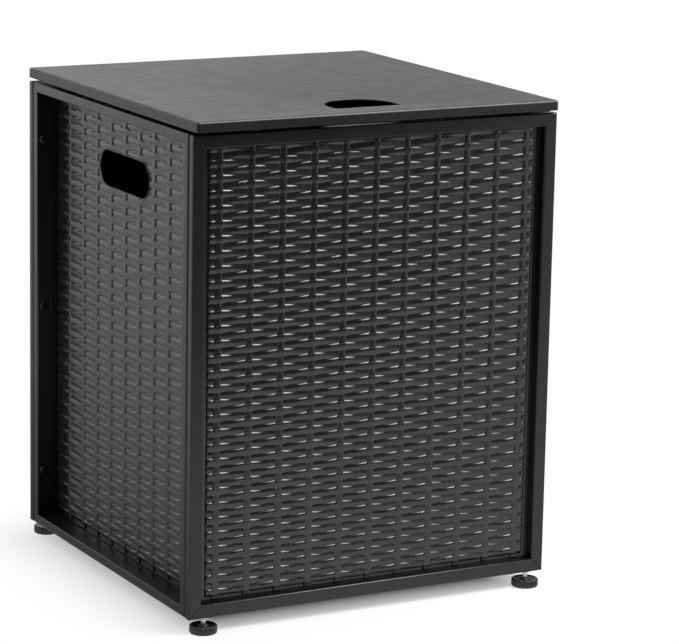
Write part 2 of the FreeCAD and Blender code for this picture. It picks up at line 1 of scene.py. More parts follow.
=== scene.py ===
# %% [markdown]
# # A tank cover table in Blender
#
# The table hides a gas tank: a steel box with four woven-look panels, a lift-off tray lid and four
# screw feet, all under black powder coat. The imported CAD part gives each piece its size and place.
# This lesson dresses it: rounded tube edges, the weave that the press leaves in the sheet, screw
# threads, and the paints, plastics and rubber. One Blender unit is one metre.

# %% Load the part
import math

import bmesh
import bpy
import numpy as np
from mathutils import Matrix, Vector
from mathutils.bvhtree import BVHTree


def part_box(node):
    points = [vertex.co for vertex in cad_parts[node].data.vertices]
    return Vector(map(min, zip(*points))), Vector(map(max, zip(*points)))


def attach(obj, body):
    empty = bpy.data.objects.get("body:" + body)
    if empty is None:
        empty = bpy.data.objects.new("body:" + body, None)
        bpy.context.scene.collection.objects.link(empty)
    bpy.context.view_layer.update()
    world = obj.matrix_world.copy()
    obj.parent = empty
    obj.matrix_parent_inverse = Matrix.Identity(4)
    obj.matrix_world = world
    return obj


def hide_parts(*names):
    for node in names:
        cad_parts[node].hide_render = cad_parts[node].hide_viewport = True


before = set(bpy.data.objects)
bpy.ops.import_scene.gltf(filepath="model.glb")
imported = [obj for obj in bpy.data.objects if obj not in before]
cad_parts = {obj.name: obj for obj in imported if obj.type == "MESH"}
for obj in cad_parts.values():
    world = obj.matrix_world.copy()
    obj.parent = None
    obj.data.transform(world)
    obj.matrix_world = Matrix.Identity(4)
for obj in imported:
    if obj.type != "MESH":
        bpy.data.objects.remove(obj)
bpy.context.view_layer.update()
MM = 0.001
print("pieces in the part:", len(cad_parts))

# %% [markdown]
# ## Colours and nodes
#
# Colours are picked on screen as sRGB hex values, but Blender's sockets want linear light. One
# function turns one into the other. A second one adds a shader node, sets it up and wires it.


# %% Helpers for materials
def to_linear(hex_colour):
    """An sRGB hex colour as linear RGBA."""
    channels = [int(hex_colour[i:i + 2], 16) / 255 for i in (1, 3, 5)]
    linear = [c / 12.92 if c <= 0.04045 else ((c + 0.055) / 1.055) ** 2.4 for c in channels]
    return (*linear, 1.0)


def add_node(tree, kind, inputs=None, **settings):
    """Add a node; inputs holds values for its sockets or the sockets to wire into them."""
    node = tree.nodes.new(kind)
    for name, setting in settings.items():
        setattr(node, name, setting)
    for socket, source in (inputs or {}).items():
        if isinstance(source, bpy.types.NodeSocket):
            tree.links.new(source, node.inputs[socket])
        else:
            node.inputs[socket].default_value = source
    return node


def cleared_tree(owner):
    """The emptied node tree of a material or a world."""
    owner.use_nodes = True
    owner.node_tree.nodes.clear()
    return owner.node_tree


def new_material(name):
    """A material, its Principled shader and its node tree."""
    material = bpy.data.materials.new(name)
    tree = cleared_tree(material)
    shader = add_node(tree, "ShaderNodeBsdfPrincipled")
    add_node(tree, "ShaderNodeOutputMaterial", {"Surface": shader.outputs["BSDF"]})
    return material, shader, tree


def vary(tree, fine_mm, low, high, coords, detail=2.0):
    """A number that wanders between two values over patches of a real size."""
    # noise spends nearly all of its range between 0.3 and 0.7
    noise = add_node(tree, "ShaderNodeTexNoise",
                     {"Vector": coords, "Scale": 1000 / fine_mm, "Detail": detail})
    spread = add_node(tree, "ShaderNodeMapRange",
                      {"Value": noise.outputs["Fac"], "From Min": 0.3, "From Max": 0.7,
                       "To Min": low, "To Max": high})
    return spread.outputs["Result"]


def uneven_material(name, dark, light, patch_mm, gloss_mm, roughness, detail=2.0):
    """A material with drifting colour and gloss, its shader, its tree and its coordinates."""
    material, shader, tree = new_material(name)
    coords = add_node(tree, "ShaderNodeTexCoord").outputs["Object"]
    drift = vary(tree, patch_mm, 0.0, 1.0, coords, detail)
    mix = add_node(tree, "ShaderNodeMix", {"Factor": drift}, data_type="RGBA")
    mix.inputs["A"].default_value = to_linear(dark)
    mix.inputs["B"].default_value = to_linear(light)
    tree.links.new(mix.outputs["Result"], shader.inputs["Base Color"])
    tree.links.new(vary(tree, gloss_mm, *roughness, coords), shader.inputs["Roughness"])
    return material, shader, tree, coords


print("screen grey #808080 in linear light:", round(to_linear("#808080")[0], 3))

# %% [markdown]
# ## Powder coat
#
# The frame, the panels and the lid are powder coated. The paint is sprayed on as dry polyester
# powder and baked, so it flows into a skin about 0.08 mm thick with a faint orange peel: swells
# about 2 mm across and a few microns high, with a finer grain on top. It is a plastic skin, so it
# isn't metallic, its IOR is about 1.5, and black satin powder sits near 0.3 in roughness. The lid
# has a finer, flatter coat and the pressed panels a glossier one, so that each fold of the weave
# flashes or goes dark.


# %% Powder coat
def powder_coat(name, dark, light, roughness, ior, peel_mm, peel_height_mm, grain):
    """Baked paint: a slow drift of colour and gloss, orange peel, and a fine grain."""
    material, shader, tree, coords = uneven_material(
        name, dark, light, 90.0, 25.0, (roughness - 0.03, roughness + 0.03), detail=3.0)
    shader.inputs["IOR"].default_value = ior
    peel = vary(tree, peel_mm, 0.0, 1.0, coords, detail=0.0)
    bump = add_node(tree, "ShaderNodeBump",
                    {"Height": peel, "Strength": 1.0, "Distance": peel_height_mm * MM})
    # the real grain is under 0.1 mm, finer than a pixel, so it is drawn at 0.5 mm
    fine = vary(tree, 0.5, 0.0, 1.0, coords, detail=1.0)
    grain_bump = add_node(tree, "ShaderNodeBump",
                          {"Height": fine, "Strength": grain, "Distance": 0.02 * MM,
                           "Normal": bump.outputs["Normal"]})
    tree.links.new(grain_bump.outputs["Normal"], shader.inputs["Normal"])
    return material


frame_coat = powder_coat("black satin powder coat", "#101010", "#131314", roughness=0.32, ior=1.5,
                         peel_mm=2.0, peel_height_mm=0.003, grain=0.5)
panel_coat = powder_coat("black powder coat on pressed steel", "#161616", "#19191a",
                         roughness=0.25, ior=1.6, peel_mm=3.0, peel_height_mm=0.003, grain=0.5)
lid_coat = powder_coat("fine black powder coat", "#121212", "#141415", roughness=0.42, ior=1.5,
                       peel_mm=1.6, peel_height_mm=0.002, grain=0.6)
print("paints:", frame_coat.name, "/", panel_coat.name, "/", lid_coat.name)

# %% [markdown]
# ## Fastener steel, plastic and rubber
#
# The studs are bright zinc-plated steel: a metal, fairly smooth, with a faint blue-grey cast. The
# frame screws are black oxide. The foot pads are injection-moulded black nylon, which is dull and
# slightly mottled. The bumpers are moulded rubber, duller still.


# %% Fastener steel, plastic and rubber
def plated_steel(name, dark, light, roughness):
    """Metal plating with faint cloudy patches."""
    material, shader, _, _ = uneven_material(name, dark, light, 2.0, 1.2,
                                             (roughness - 0.05, roughness + 0.08))
    shader.inputs["Metallic"].default_value = 1.0
    return material


def moulded(name, dark, light, roughness, ior, grain_mm, grain_height_mm):
    """A moulded plastic or rubber with the fine grain of its mould."""
    material, shader, tree, coords = uneven_material(name, dark, light, 6.0, 4.0,
                                                     (roughness - 0.05, roughness + 0.05))
    shader.inputs["IOR"].default_value = ior
    grain = vary(tree, grain_mm, 0.0, 1.0, coords)
    bump = add_node(tree, "ShaderNodeBump",
                    {"Height": grain, "Strength": 1.0, "Distance": grain_height_mm * MM})
    tree.links.new(bump.outputs["Normal"], shader.inputs["Normal"])
    return material


zinc = plated_steel("bright zinc plated steel", "#c8cacc", "#e0e2e4", 0.25)
black_oxide = plated_steel("black oxide steel", "#2a2a2c", "#3a3a3c", 0.35)
# a mould's grain is about 0.2 mm across, too fine to show, so it is drawn at 0.6 to 0.8 mm
nylon = moulded("black moulded nylon", "#0e0e0e", "#141414", roughness=0.42, ior=1.53,
                grain_mm=0.6, grain_height_mm=0.01)
rubber = moulded("black moulded rubber", "#121212", "#191919", roughness=0.75, ior=1.52,
                 grain_mm=0.8, grain_height_mm=0.02)
print("fasteners and mouldings:", ", ".join(m.name for m in (zinc, black_oxide, nylon, rubber)))

# %% [markdown]
# ## Making meshes
#
# Each piece that the CAD draws plainly gets a finer mesh, laid over the CAD piece that it stands
# for. Three helpers cover most of them: one puts arrays into a mesh object, one turns an outline
# round an axis into rings of points, and one joins rings with a skin. Soft edges come from smooth
# shading with the sharp edges marked.


# %% Helpers for meshes
def put_in_scene(name, data):
    """An object for a mesh, a lamp or a camera."""
    thing = bpy.data.objects.new(name, data)
    bpy.context.scene.collection.objects.link(thing)
    return thing


def shade_smooth(mesh, sharp_degrees):
    """Smooth shading that stops at every edge sharper than an angle."""
    mesh.polygons.foreach_set("use_smooth", [True] * len(mesh.polygons))
    mesh.set_sharp_from_angle(angle=math.radians(sharp_degrees))


def mesh_object(name, points, faces, material, sharp_degrees=35.0):
    """A mesh object from points in metres, shaded smooth apart from its sharp edges."""
    mesh = bpy.data.meshes.new(name)
    mesh.from_pydata([tuple(p) for p in points], [], [tuple(f) for f in faces])
    shape = bmesh.new()
    shape.from_mesh(mesh)
    bmesh.ops.remove_doubles(shape, verts=shape.verts, dist=1e-7)
    bmesh.ops.recalc_face_normals(shape, faces=shape.faces)
    shape.to_mesh(mesh)
    shape.free()
    shade_smooth(mesh, sharp_degrees)
    mesh.materials.append(material)
    return put_in_scene(name, mesh)


def skin(rings, closed_loop=False):
    """Points and four-sided faces that join closed rings of equal length."""
    points = [p for ring in rings for p in ring]
    count = len(rings[0])
    faces = []
    last = len(rings) if closed_loop else len(rings) - 1
    for r in range(last):
        here, there = r * count, ((r + 1) % len(rings)) * count
        for i in range(count):
            j = (i + 1) % count
            faces.append((here + i, here + j, there + j, there + i))
    return points, faces


def turned_rings(outline, sides=32):
    """Rings of points: an outline of (radius, height) pairs turned round the Z axis."""
    angles = [math.tau * i / sides for i in range(sides)]
    return [[(radius * math.cos(a), radius * math.sin(a), height) for a in angles]
            for radius, height in outline]


def merged(pieces):
    """Several (points, faces) pairs as one."""
    points, faces = [], []
    for some_points, some_faces in pieces:
        start = len(points)
        points += list(some_points)
        faces += [tuple(i + start for i in face) for face in some_faces]
    return points, faces


def moved(points, matrix):
    """Points after a 4x4 transform."""
    return [tuple(matrix @ Vector(p)) for p in points]


print("points on a turned ring:", len(turned_rings([(1.0, 0.0)])[0]))

# %% [markdown]
# ## Frame tubes
#
# The frames are rectangular steel tube. Rolled tube has rounded edges, about 1.5 mm outside, and
# those edges catch the long thin highlights that outline a black product. Each tube is a rounded
# rectangle swept along its length with both ends cut at 45 degrees. The two cuts meet in a weld
# that is ground flush: it shows as a hairline, drawn here as a groove 0.3 mm deep.


# %% Frame tubes
TUBE_WALL = 1.0 * MM
TUBE_EDGE = 1.5 * MM       # radius of a tube's outer edges
TUBE_INNER_EDGE = 0.3 * MM
GROOVE = 0.3 * MM
SUPPORT = 0.2 * MM         # an extra point this far from each bend keeps the flats flat


def rounded_rectangle(width, depth, radius, steps=6):
    """An outline about the origin, anticlockwise, with a support point beside each bend."""
    outline = []
    for corner, (sign_x, sign_y) in enumerate(((1, 1), (-1, 1), (-1, -1), (1, -1))):
        cx, cy = sign_x * (width / 2 - radius), sign_y * (depth / 2 - radius)
        start = corner * math.pi / 2
        bend = [(cx + radius * math.cos(start + i * math.pi / 2 / steps),
                 cy + radius * math.sin(start + i * math.pi / 2 / steps))
                for i in range(steps + 1)]
        before = (bend[0][0] + math.sin(start) * SUPPORT, bend[0][1] - math.cos(start) * SUPPORT)
        after = (bend[-1][0] - math.cos(start) * SUPPORT, bend[-1][1] - math.sin(start) * SUPPORT)
        outline += [before] + bend + [after]
    return outline


def tube_mesh(length, face, depth):
    """A mitred tube: outer edge along X at z = 0, reaching down by its face."""
    outline = rounded_rectangle(face, depth, TUBE_EDGE)
    inside = rounded_rectangle(face - 2 * TUBE_WALL, depth - 2 * TUBE_WALL, TUBE_INNER_EDGE)
    shrunk = rounded_rectangle(face - 2 * GROOVE, depth - 2 * GROOVE, TUBE_EDGE - GROOVE)

    def ring(section, end, setback):
        """The section on the mitre at one end, set back along the tube."""
        return [(end * (length / 2 + (u - face / 2) - setback), v, u - face / 2)
                for u, v in section]

    rings = [
        ring(inside, -1, 0.0), ring(shrunk, -1, 0.0), ring(outline, -1, GROOVE * 1.5),
        ring(outline, 1, GROOVE * 1.5), ring(shrunk, 1, 0.0), ring(inside, 1, 0.0),
    ]
    return skin(rings, closed_loop=True)


def tube_like(node, along, face_axis, outer_sign):
    """A rounded tube over a CAD tube: its long axis, its face axis, and its outer side."""
    low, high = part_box(node)
    size = high - low
    depth_axis = 3 - along - face_axis
    points, faces = tube_mesh(size[along], size[face_axis], size[depth_axis])
    placed = []
    for x, y, z in points:
        place = [0.0, 0.0, 0.0]
        place[along] = (low[along] + high[along]) / 2 + x
        place[depth_axis] = (low[depth_axis] + high[depth_axis]) / 2 + y
        edge = high[face_axis] if outer_sign > 0 else low[face_axis]
        place[face_axis] = edge + outer_sign * z
        placed.append(place)
    tube = mesh_object(node + "_tube", placed, faces, frame_coat)
    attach(tube, "cabinet")
    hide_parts(node)
    return tube


X, Y, Z = 0, 1, 2
tubes = []
for group, along, first, second in (("front", X, "left", "right"), ("rear", X, "left", "right"),
                                    ("left_side", Y, "front", "rear"),
                                    ("right_side", Y, "front", "rear")):
    tubes += [tube_like(f"{group}_top_rail", along, Z, 1),
              tube_like(f"{group}_bottom_rail", along, Z, -1),
              tube_like(f"{group}_{first}_stile", Z, along, -1),
              tube_like(f"{group}_{second}_stile", Z, along, 1)]
print("tubes:", len(tubes))

# %% [markdown]
# ## The pressed weave
#
# The panels look like plain-woven wicker, but each is one steel sheet. The press draws a shallow
# relief: level strands 7.25 mm apart that bulge out over one upright stake and sink behind the
# next, with the stakes 33.8 mm apart. A stake shows as a raised face round each sunk strand and as
# a faint ridge under each bulging one, and it runs on a little way down the flat sheet below the
# first strand.
#
# A bump map can't give the dark flanks beside the stakes or the true outline of the relief, so the
# sheet is modelled. Each strand's middle line rises and falls as a cosine along the row, in step
# with the stakes. Across, a strand is a flat strip with two sloping shoulders. The strip leans so
# that it looks slightly down. Where it bulges it is three times as wide and drops steeply to the
# next strand, so that light and dark lines run along it. Where it sinks it is narrow and hardly
# leans.

# %% Sizes of the weave
STAKE_PITCH = 33.8 * MM
STRAND_PITCH = 7.25 * MM
SWELL = 0.6 * MM           # a strand's middle line, above and below its mean
STRIP_LEAST = 1.1 * MM     # half of the flat strip between stakes and where a strand sinks
STRIP_MORE = 2.2 * MM      # wider by this where a strand bulges
STRIP_ROUND = 0.6 * MM     # rounding between strip and shoulder
LEAN_MEAN = 0.06           # lean of the strip between stakes, looking down
LEAN_MORE = 0.05           # more lean where a strand bulges, less where it sinks
LEAN_LESS = 0.5            # share of the lean that a strand loses over a stake
UPPER_MEAN = 0.25          # slope of the upper shoulder between stakes
UPPER_MORE = 0.7           # steeper by this where a strand bulges, flatter where it sinks
UPPER_WIDE = 1.5 * MM      # width of the upper shoulder, before it drops to the crease
WALL_MORE = 2.2            # extra slope of that drop where a strand bulges
WALL_ROUND = 0.25 * MM     # rounding where the drop starts
LOWER_MEAN = 0.3           # slope of the lower shoulder between stakes
LOWER_MORE = 1.3           # steeper by this where a strand bulges
UPPER_LEAST = 0.2          # least slopes, where a strand sinks
LOWER_LEAST = 0.08
STAKE_REACH = 2.6 * MM     # how far from a stake its strands keep less lean
FLAT_TO_CREST = 2.8 * MM   # flat sheet to the middle of a bulge
STAKE_HALF = 3.8 * MM      # half of a stake's width
STAKE_ROUND = ((2.4, 0.0), (3.0, 0.12), (3.5, 0.5))  # mm out from the middle, mm down
STAKE_LOW, STAKE_HIGH = -3.7 * MM, 4.05 * MM  # how far a stake shows round a sunk strand
STAKE_DEPTH = 0.1 * MM     # face of a stake below the middle of a bulge
STAKE_LEAN = 0.063         # a stake leans back a little
STAKE_BARE = 1.5 * MM      # how far it stands out of the flat sheet below the first strand
SHEET = 0.8 * MM           # thickness of the steel


def bent(distance, rounding):
    """Zero before a bend and the distance past it after, with a soft turn."""
    return (np.sqrt(distance ** 2 + rounding ** 2) + distance) / 2


def strip_half(bulge):
    """Half of the flat strip of a strand."""
    return STRIP_LEAST + STRIP_MORE * np.maximum(bulge, 0.0)


def strand_height(bulge, across, on_stake):
    """Height of a strand from a bulge's middle: bulge is 1 there and -1 at a hollow."""
    past_strip = np.abs(across) - strip_half(bulge)
    shoulder = bent(past_strip, STRIP_ROUND)
    upper = np.maximum(UPPER_MEAN + UPPER_MORE * bulge, UPPER_LEAST) * shoulder
    upper += WALL_MORE * np.maximum(bulge, 0.0) * bent(past_strip - UPPER_WIDE, WALL_ROUND)
    lower = np.maximum(LOWER_MEAN + LOWER_MORE * bulge, LOWER_LEAST) * shoulder
    lean = (LEAN_MEAN + LEAN_MORE * bulge) * (1.0 - LEAN_LESS * on_stake)
    return SWELL * (bulge - 1.0) - np.where(across > 0, upper, lower) + lean * across


def crease_offset(bulge, on_stake):
    """How far above the halfway line two strands meet, when the lower one bulges by bulge."""
    low = np.full_like(bulge, -0.45 * STRAND_PITCH)
    high = np.full_like(bulge, 0.45 * STRAND_PITCH)
    for _ in range(40):
        middle = (low + high) / 2
        below = strand_height(bulge, STRAND_PITCH / 2 + middle, on_stake)
        above = strand_height(-bulge, middle - STRAND_PITCH / 2, on_stake)
        low = np.where(below > above, middle, low)
        high = np.where(below > above, high, middle)
    return (low + high) / 2


print("bulge to hollow at a stake:", round(2 * SWELL / MM, 2), "mm")

# %% [markdown]
# The mesh is a grid whose lines follow the shape. Its columns crowd at the flanks of the stakes and
# at the sides of the pressed field. A coarser copy of the front makes the back of the sheet, so
# each column and row also says whether the back uses it.


# %% Columns of the weave
BORDER_LINES = (5.0, 3.5, 2.4, 1.5, 0.8, 0.25)  # mm in from the side of the field


def weave_columns(half_field, half_width):
    """Places across a panel, and which of them the back uses."""
    stakes = int(half_field / STAKE_PITCH)
    edge = [out * MM for out, _ in STAKE_ROUND] + [STAKE_HALF + 0.05 * MM]
    beside = [-v for v in reversed(edge)] + [0.0] + edge
    gap = list(np.linspace(edge[-1], STAKE_PITCH - edge[-1], 9)[1:-1])
    columns, on_back = [], []
    for k in range(-stakes, stakes + 1):
        columns += [k * STAKE_PITCH + v for v in beside]
        on_back += [abs(v) > STAKE_HALF or v == 0.0 for v in beside]
        if k < stakes:
            columns += [k * STAKE_PITCH + v for v in gap]
            on_back += [i % 3 == 0 for i in range(len(gap))]
    start = stakes * STAKE_PITCH + edge[-1]
    slope = [half_field - v * MM for v in BORDER_LINES]
    outside = [v for v in slope if v > start + 0.5 * MM]
    outside += [half_field, half_field + MM, half_width]
    columns = [-v for v in reversed(outside)] + columns + outside
    on_back = [True] * len(outside) + on_back + [True] * len(outside)
    return np.array(columns), np.array(on_back)


print("columns over a field 100 mm wide:", len(weave_columns(50 * MM, 52 * MM)[0]))

# %% [markdown]
# A stake's face stands almost level with the bulging strands. It shows for a few millimetres above
# and below the middle of each sunk strand and leans back a little. At the edges of the field the
# relief comes up out of the flat sheet along a quarter of an ellipse, as steel does over the
# rounded edge of a press tool.


# %% Stakes and borders
SIDE_BORDER = 3.0 * MM     # width of the slope from the flat sheet up to the weave
LOW_BORDER = 5.0 * MM
HIGH_BORDER = 4.0 * MM
BARE_BORDER = 2.0 * MM     # the same for the bare end of a stake
RIDGE_OUT = (3.0 * MM, 3.5 * MM, STAKE_HALF)
RIDGE_SHARE = (1.0, 0.6, 0.0)  # share of the ridge's height at these places out from its middle
LEAST_RISE = 0.05 * MM     # the weave never sinks below this
HIDDEN = -1.0              # height of a stake where none shows, far below everything


def from_stakes(columns):
    """The number of the nearest stake, and the distance to its middle."""
    nearest = np.round(columns / STAKE_PITCH)
    return nearest, np.abs(columns - STAKE_PITCH * nearest)


def stake_faces(columns, levels, first_row_low, last_stake):
    """Height of the stakes' faces at each point."""
    nearest, out = from_stakes(columns)
    steps, drops = zip((0.0, 0.0), *[(a * MM, b * MM) for a, b in STAKE_ROUND])
    first_sunk = first_row_low + STRAND_PITCH * (0.5 + np.abs(nearest) % 2)
    two_rows = 2 * STRAND_PITCH
    up = (levels - first_sunk + STRAND_PITCH) % two_rows - STRAND_PITCH
    face = FLAT_TO_CREST - STAKE_DEPTH - STAKE_LEAN * up - np.interp(out, steps, drops)
    shown = ((out <= STAKE_HALF) & (np.abs(nearest) <= last_stake)
             & (up > STAKE_LOW) & (up < STAKE_HIGH))
    return np.where(shown, face, HIDDEN)


def rise_from(distance, width):
    """How far the press has raised the sheet at a distance in from the edge of the field."""
    part = np.clip(distance / width, 0.0, 1.0)
    return np.sqrt(1.0 - (1.0 - part) ** 2)


def with_stakes(columns, levels, heights, half_field, field_low, field_high, first_row_low,
                flat_until, stake_shows):
    """Heights of the finished relief: strands, stakes and borders.

    The sheet is flat up to flat_until, and stake_shows is the ridge of a stake under a strand.
    """
    nearest, out = from_stakes(columns)
    last_stake = int(half_field / STAKE_PITCH)
    push = np.interp(out, RIDGE_OUT, RIDGE_SHARE) * (np.abs(nearest) <= last_stake)
    stakes = stake_faces(columns, levels, first_row_low, last_stake)
    heights = np.maximum(np.maximum(heights + push * stake_shows, stakes), LEAST_RISE)
    low_rise = rise_from(levels - flat_until, LOW_BORDER)
    rise = (rise_from(half_field - np.abs(columns), SIDE_BORDER) * low_rise
            * rise_from(field_high - levels, HIGH_BORDER))
    bare = push * STAKE_BARE * (1.0 - low_rise) * rise_from(levels - field_low, BARE_BORDER)
    return heights * rise + bare


print("a stake shows over", round((STAKE_HIGH - STAKE_LOW) / MM, 2), "mm of height")

# %% [markdown]
# The rows of the grid follow each strand's strip and shoulders. The last line of a strand is its
# crease: the height at which it meets the strand above is solved at each column, so the mesh line
# runs along the crease.


# %% Rows of the weave
LINE_GAP = 0.06 * MM       # least distance between two lines of a strand
EDGE_INSET = 0.4 * MM      # the first and last strand stop this far short of their edge
BORDER_LEVEL = 0.3 * STRAND_PITCH  # the border takes the strand's height this far from its middle
BORDER_START = 0.2 * MM
MIDDLE_LINE = 3            # the back uses this line of each strand and its crease


def strand_lines(bulge, on_stake, is_first, is_last):
    """Places across a strand, up from its middle, with the crease above it as the last."""
    bottom = -STRAND_PITCH / 2 + crease_offset(-bulge, on_stake)
    top = STRAND_PITCH / 2 + crease_offset(bulge, on_stake)
    if is_first:
        bottom = np.full_like(bulge, EDGE_INSET - STRAND_PITCH / 2)
    if is_last:
        top = np.full_like(bulge, STRAND_PITCH / 2 - EDGE_INSET)
    strip = strip_half(bulge)
    wide = strip + UPPER_WIDE
    # lines from the lower shoulder over the strip and the upper shoulder to its drop
    inner = [-strip - 0.45 * MM, -strip, 0.6 * MM - strip, 0.0 * strip, strip - 0.6 * MM,
             strip, strip + 0.5 * MM, wide - 0.2 * MM, wide + 0.12 * MM]
    return [np.clip(v, bottom + (k + 1) * LINE_GAP, top - (len(inner) - k) * LINE_GAP)
            for k, v in enumerate(inner)] + [top]


def weave_surface(columns, ends, half_field, field_low, field_high, first_row_low, flat_until,
                  stake_shows):
    """Place and height of each point, row by row, and which rows the back uses."""
    rows = int((field_high - first_row_low) / STRAND_PITCH)
    on_stake = np.exp(-from_stakes(columns)[1] ** 2 / STAKE_REACH ** 2)
    levels, heights, on_back = [], [], []

    def bulge_of(row):
        """How far each point of a row bulges: 1 over a stake and -1 behind one."""
        return (-1 if row % 2 == 0 else 1) * np.cos(math.pi * columns / STAKE_PITCH)

    def line(z, height, back=True):
        """One line of points across the panel."""
        levels.append(np.zeros_like(columns) + z)
        heights.append(np.zeros_like(columns) + height)
        on_back.append(back)

    line(ends[0], 0.0)
    line(field_low, 0.0)
    below = FLAT_TO_CREST + strand_height(bulge_of(0), -BORDER_LEVEL, on_stake)
    for z in np.linspace(field_low, first_row_low + BORDER_START, 5)[1:]:
        line(z, below, z > first_row_low)
    for row in range(rows):
        centre = first_row_low + STRAND_PITCH * (row + 0.5)
        bulge = bulge_of(row)
        places = strand_lines(bulge, on_stake, row == 0, row == rows - 1)
        for number, place in enumerate(places):
            height = FLAT_TO_CREST + strand_height(bulge, place, on_stake)
            line(centre + place, height, number in (MIDDLE_LINE, len(places) - 1))
    above = FLAT_TO_CREST + strand_height(bulge_of(rows - 1), BORDER_LEVEL, on_stake)
    last_row_high = first_row_low + rows * STRAND_PITCH
    for z in np.linspace(last_row_high - BORDER_START, field_high, 5):
        line(z, above, z > last_row_high)
    line(ends[1], 0.0)
    levels, heights, on_back = np.array(levels), np.array(heights), np.array(on_back)
    heights = with_stakes(columns, levels, heights, half_field, field_low, field_high,
                          first_row_low, flat_until, stake_shows)
    return levels, heights, on_back


print("lines across a strand:", len(strand_lines(np.zeros(1), np.zeros(1), False, False)))

# %% [markdown]
# The sheet has a fine front, a back one thickness behind it with fewer points, and a rim that joins
# the two. Where the front has more points along the rim than the back, one face takes them all.


# %% Front, back and rim
def grid_quads(index):
    """Four-sided faces of a grid of point numbers."""
    return np.stack([index[:-1, :-1], index[:-1, 1:], index[1:, 1:], index[1:, :-1]],
                    axis=-1).reshape(-1, 4).tolist()


def border(index):
    """The point numbers round a grid, anticlockwise."""
    return np.concatenate([index[0, :-1], index[:-1, -1], index[-1, :0:-1], index[:0:-1, 0]])


def pressed_sheet(columns, column_back, levels, heights, row_back):
    """Points and faces of the sheet: fine front, coarser back, and the cut edge all round."""
    across = np.broadcast_to(columns, levels.shape)
    front = np.stack([across, -heights, levels], axis=-1)
    back = (front + np.array([0.0, SHEET, 0.0]))[row_back][:, column_back]
    number = np.arange(levels.size).reshape(levels.shape)
    behind = levels.size + np.arange(back.shape[0] * back.shape[1]).reshape(back.shape[:2])
    partner = {}
    for near, far in zip(number[row_back][:, column_back].ravel(), behind.ravel()):
        partner[int(near)] = int(far)
    rim = [int(i) for i in border(number)]
    rim_faces, run = [], [rim[0]]
    for point in rim[1:] + rim[:1]:
        run.append(point)
        if point in partner:
            rim_faces.append(run[::-1] + [partner[run[0]], partner[point]])
            run = [point]
    faces = grid_quads(number) + grid_quads(behind[:, ::-1]) + rim_faces
    points = np.concatenate([front.reshape(-1, 3), back.reshape(-1, 3)])
    return points.tolist(), faces


print("thickness of the sheet:", SHEET / MM, "mm")

# %% [markdown]
# The front and rear panels are one mesh used twice, and so are the two side panels. Each is laid
# where the CAD panel is, measured from its box. The top strand of the front panel runs up behind
# the top rail, as on the photo.


# %% Front and rear panels
def pressed_mesh(name, node, half_field, **field):
    """A pressed panel as wide and tall as a CAD panel, looking along -Y."""
    low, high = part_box(node)
    half_width = max(high[0] - low[0], high[1] - low[1]) / 2
    columns, column_back = weave_columns(half_field, half_width)
    levels, heights, row_back = weave_surface(columns, (low[2], high[2]), half_field, **field)
    points, faces = pressed_sheet(columns, column_back, levels, heights, row_back)
    mesh = bpy.data.meshes.new(name)
    mesh.from_pydata(points, [], faces)
    mesh.materials.append(panel_coat)
    print(name, "points:", len(points), "faces:", len(faces))
    return mesh


def facing(spin_degrees, distance):
    """Turns what looks along -Y to a side of the box and sets it out by a distance."""
    turn = Matrix.Rotation(math.radians(spin_degrees), 4, "Z")
    return turn @ Matrix.Translation((0.0, -distance, 0.0))


def hang_panel(node, mesh, spin_degrees, distance):
    """Put a panel mesh on the box, turned to its side, its flat sheet at a distance."""
    panel = put_in_scene(node + "_weave", mesh)
    panel.matrix_world = facing(spin_degrees, distance)
    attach(panel, "cabinet")
    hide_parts(node)


WEAVE_SHARP = 32.0
front_sheet = pressed_mesh("pressed_front", "front_panel", half_field=179.5 * MM,
                           field_low=29.6 * MM, field_high=479.5 * MM, first_row_low=32.9 * MM,
                           flat_until=33.2 * MM, stake_shows=0.08 * MM)
shade_smooth(front_sheet, WEAVE_SHARP)
front_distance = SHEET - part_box("front_panel")[1][1]
hang_panel("front_panel", front_sheet, 0, front_distance)
hang_panel("rear_panel", front_sheet, 180, front_distance)

# %% [markdown]
# ## Side panels and their hand slots
#
# The side sheets are pressed in the same way and then punched: a slot with round ends, 118 by
# 38 mm. The punch cuts straight through the relief, so the edge of the slot waves in and out with
# it. A boolean does just what the punch does.


# %% Side panels
SLOT_LENGTH, SLOT_HEIGHT = 118 * MM, 38 * MM
SLOT_DROP = 68 * MM        # middle of the slot below the top of the side frame
PUNCH_REACH = 8 * MM


def round_ended_outline(length, height, centre_z, steps=24):
    """The outline of the slot, anticlockwise from its lower right."""
    radius = height / 2
    straight = length / 2 - radius
    outline = []
    for end in (1, -1):
        for i in range(steps + 1):
            a = math.pi * i / steps - end * math.pi / 2
            outline.append((end * straight + radius * math.cos(a), centre_z + radius * math.sin(a)))
    return outline


def round_ended_cutter(outline, depth):
    """A solid with the slot's outline, thick enough to go through the sheet."""
    rings = [[(x, y, z) for x, z in outline] for y in (-depth, depth)]
    points, faces = skin(rings)
    count = len(outline)
    faces += [tuple(range(count))[::-1], tuple(range(count, 2 * count))]
    return mesh_object("slot_punch", points, faces, panel_coat)


def punched(mesh, cutter):
    """The mesh with the cutter's shape taken out."""
    blank = put_in_scene("blank", mesh)
    cut = blank.modifiers.new("punch", "BOOLEAN")
    cut.operation = "DIFFERENCE"
    cut.solver = "EXACT"
    cut.object = cutter
    graph = bpy.context.evaluated_depsgraph_get()
    result = bpy.data.meshes.new_from_object(blank.evaluated_get(graph))
    bpy.data.objects.remove(blank)
    bpy.data.objects.remove(cutter)
    return result


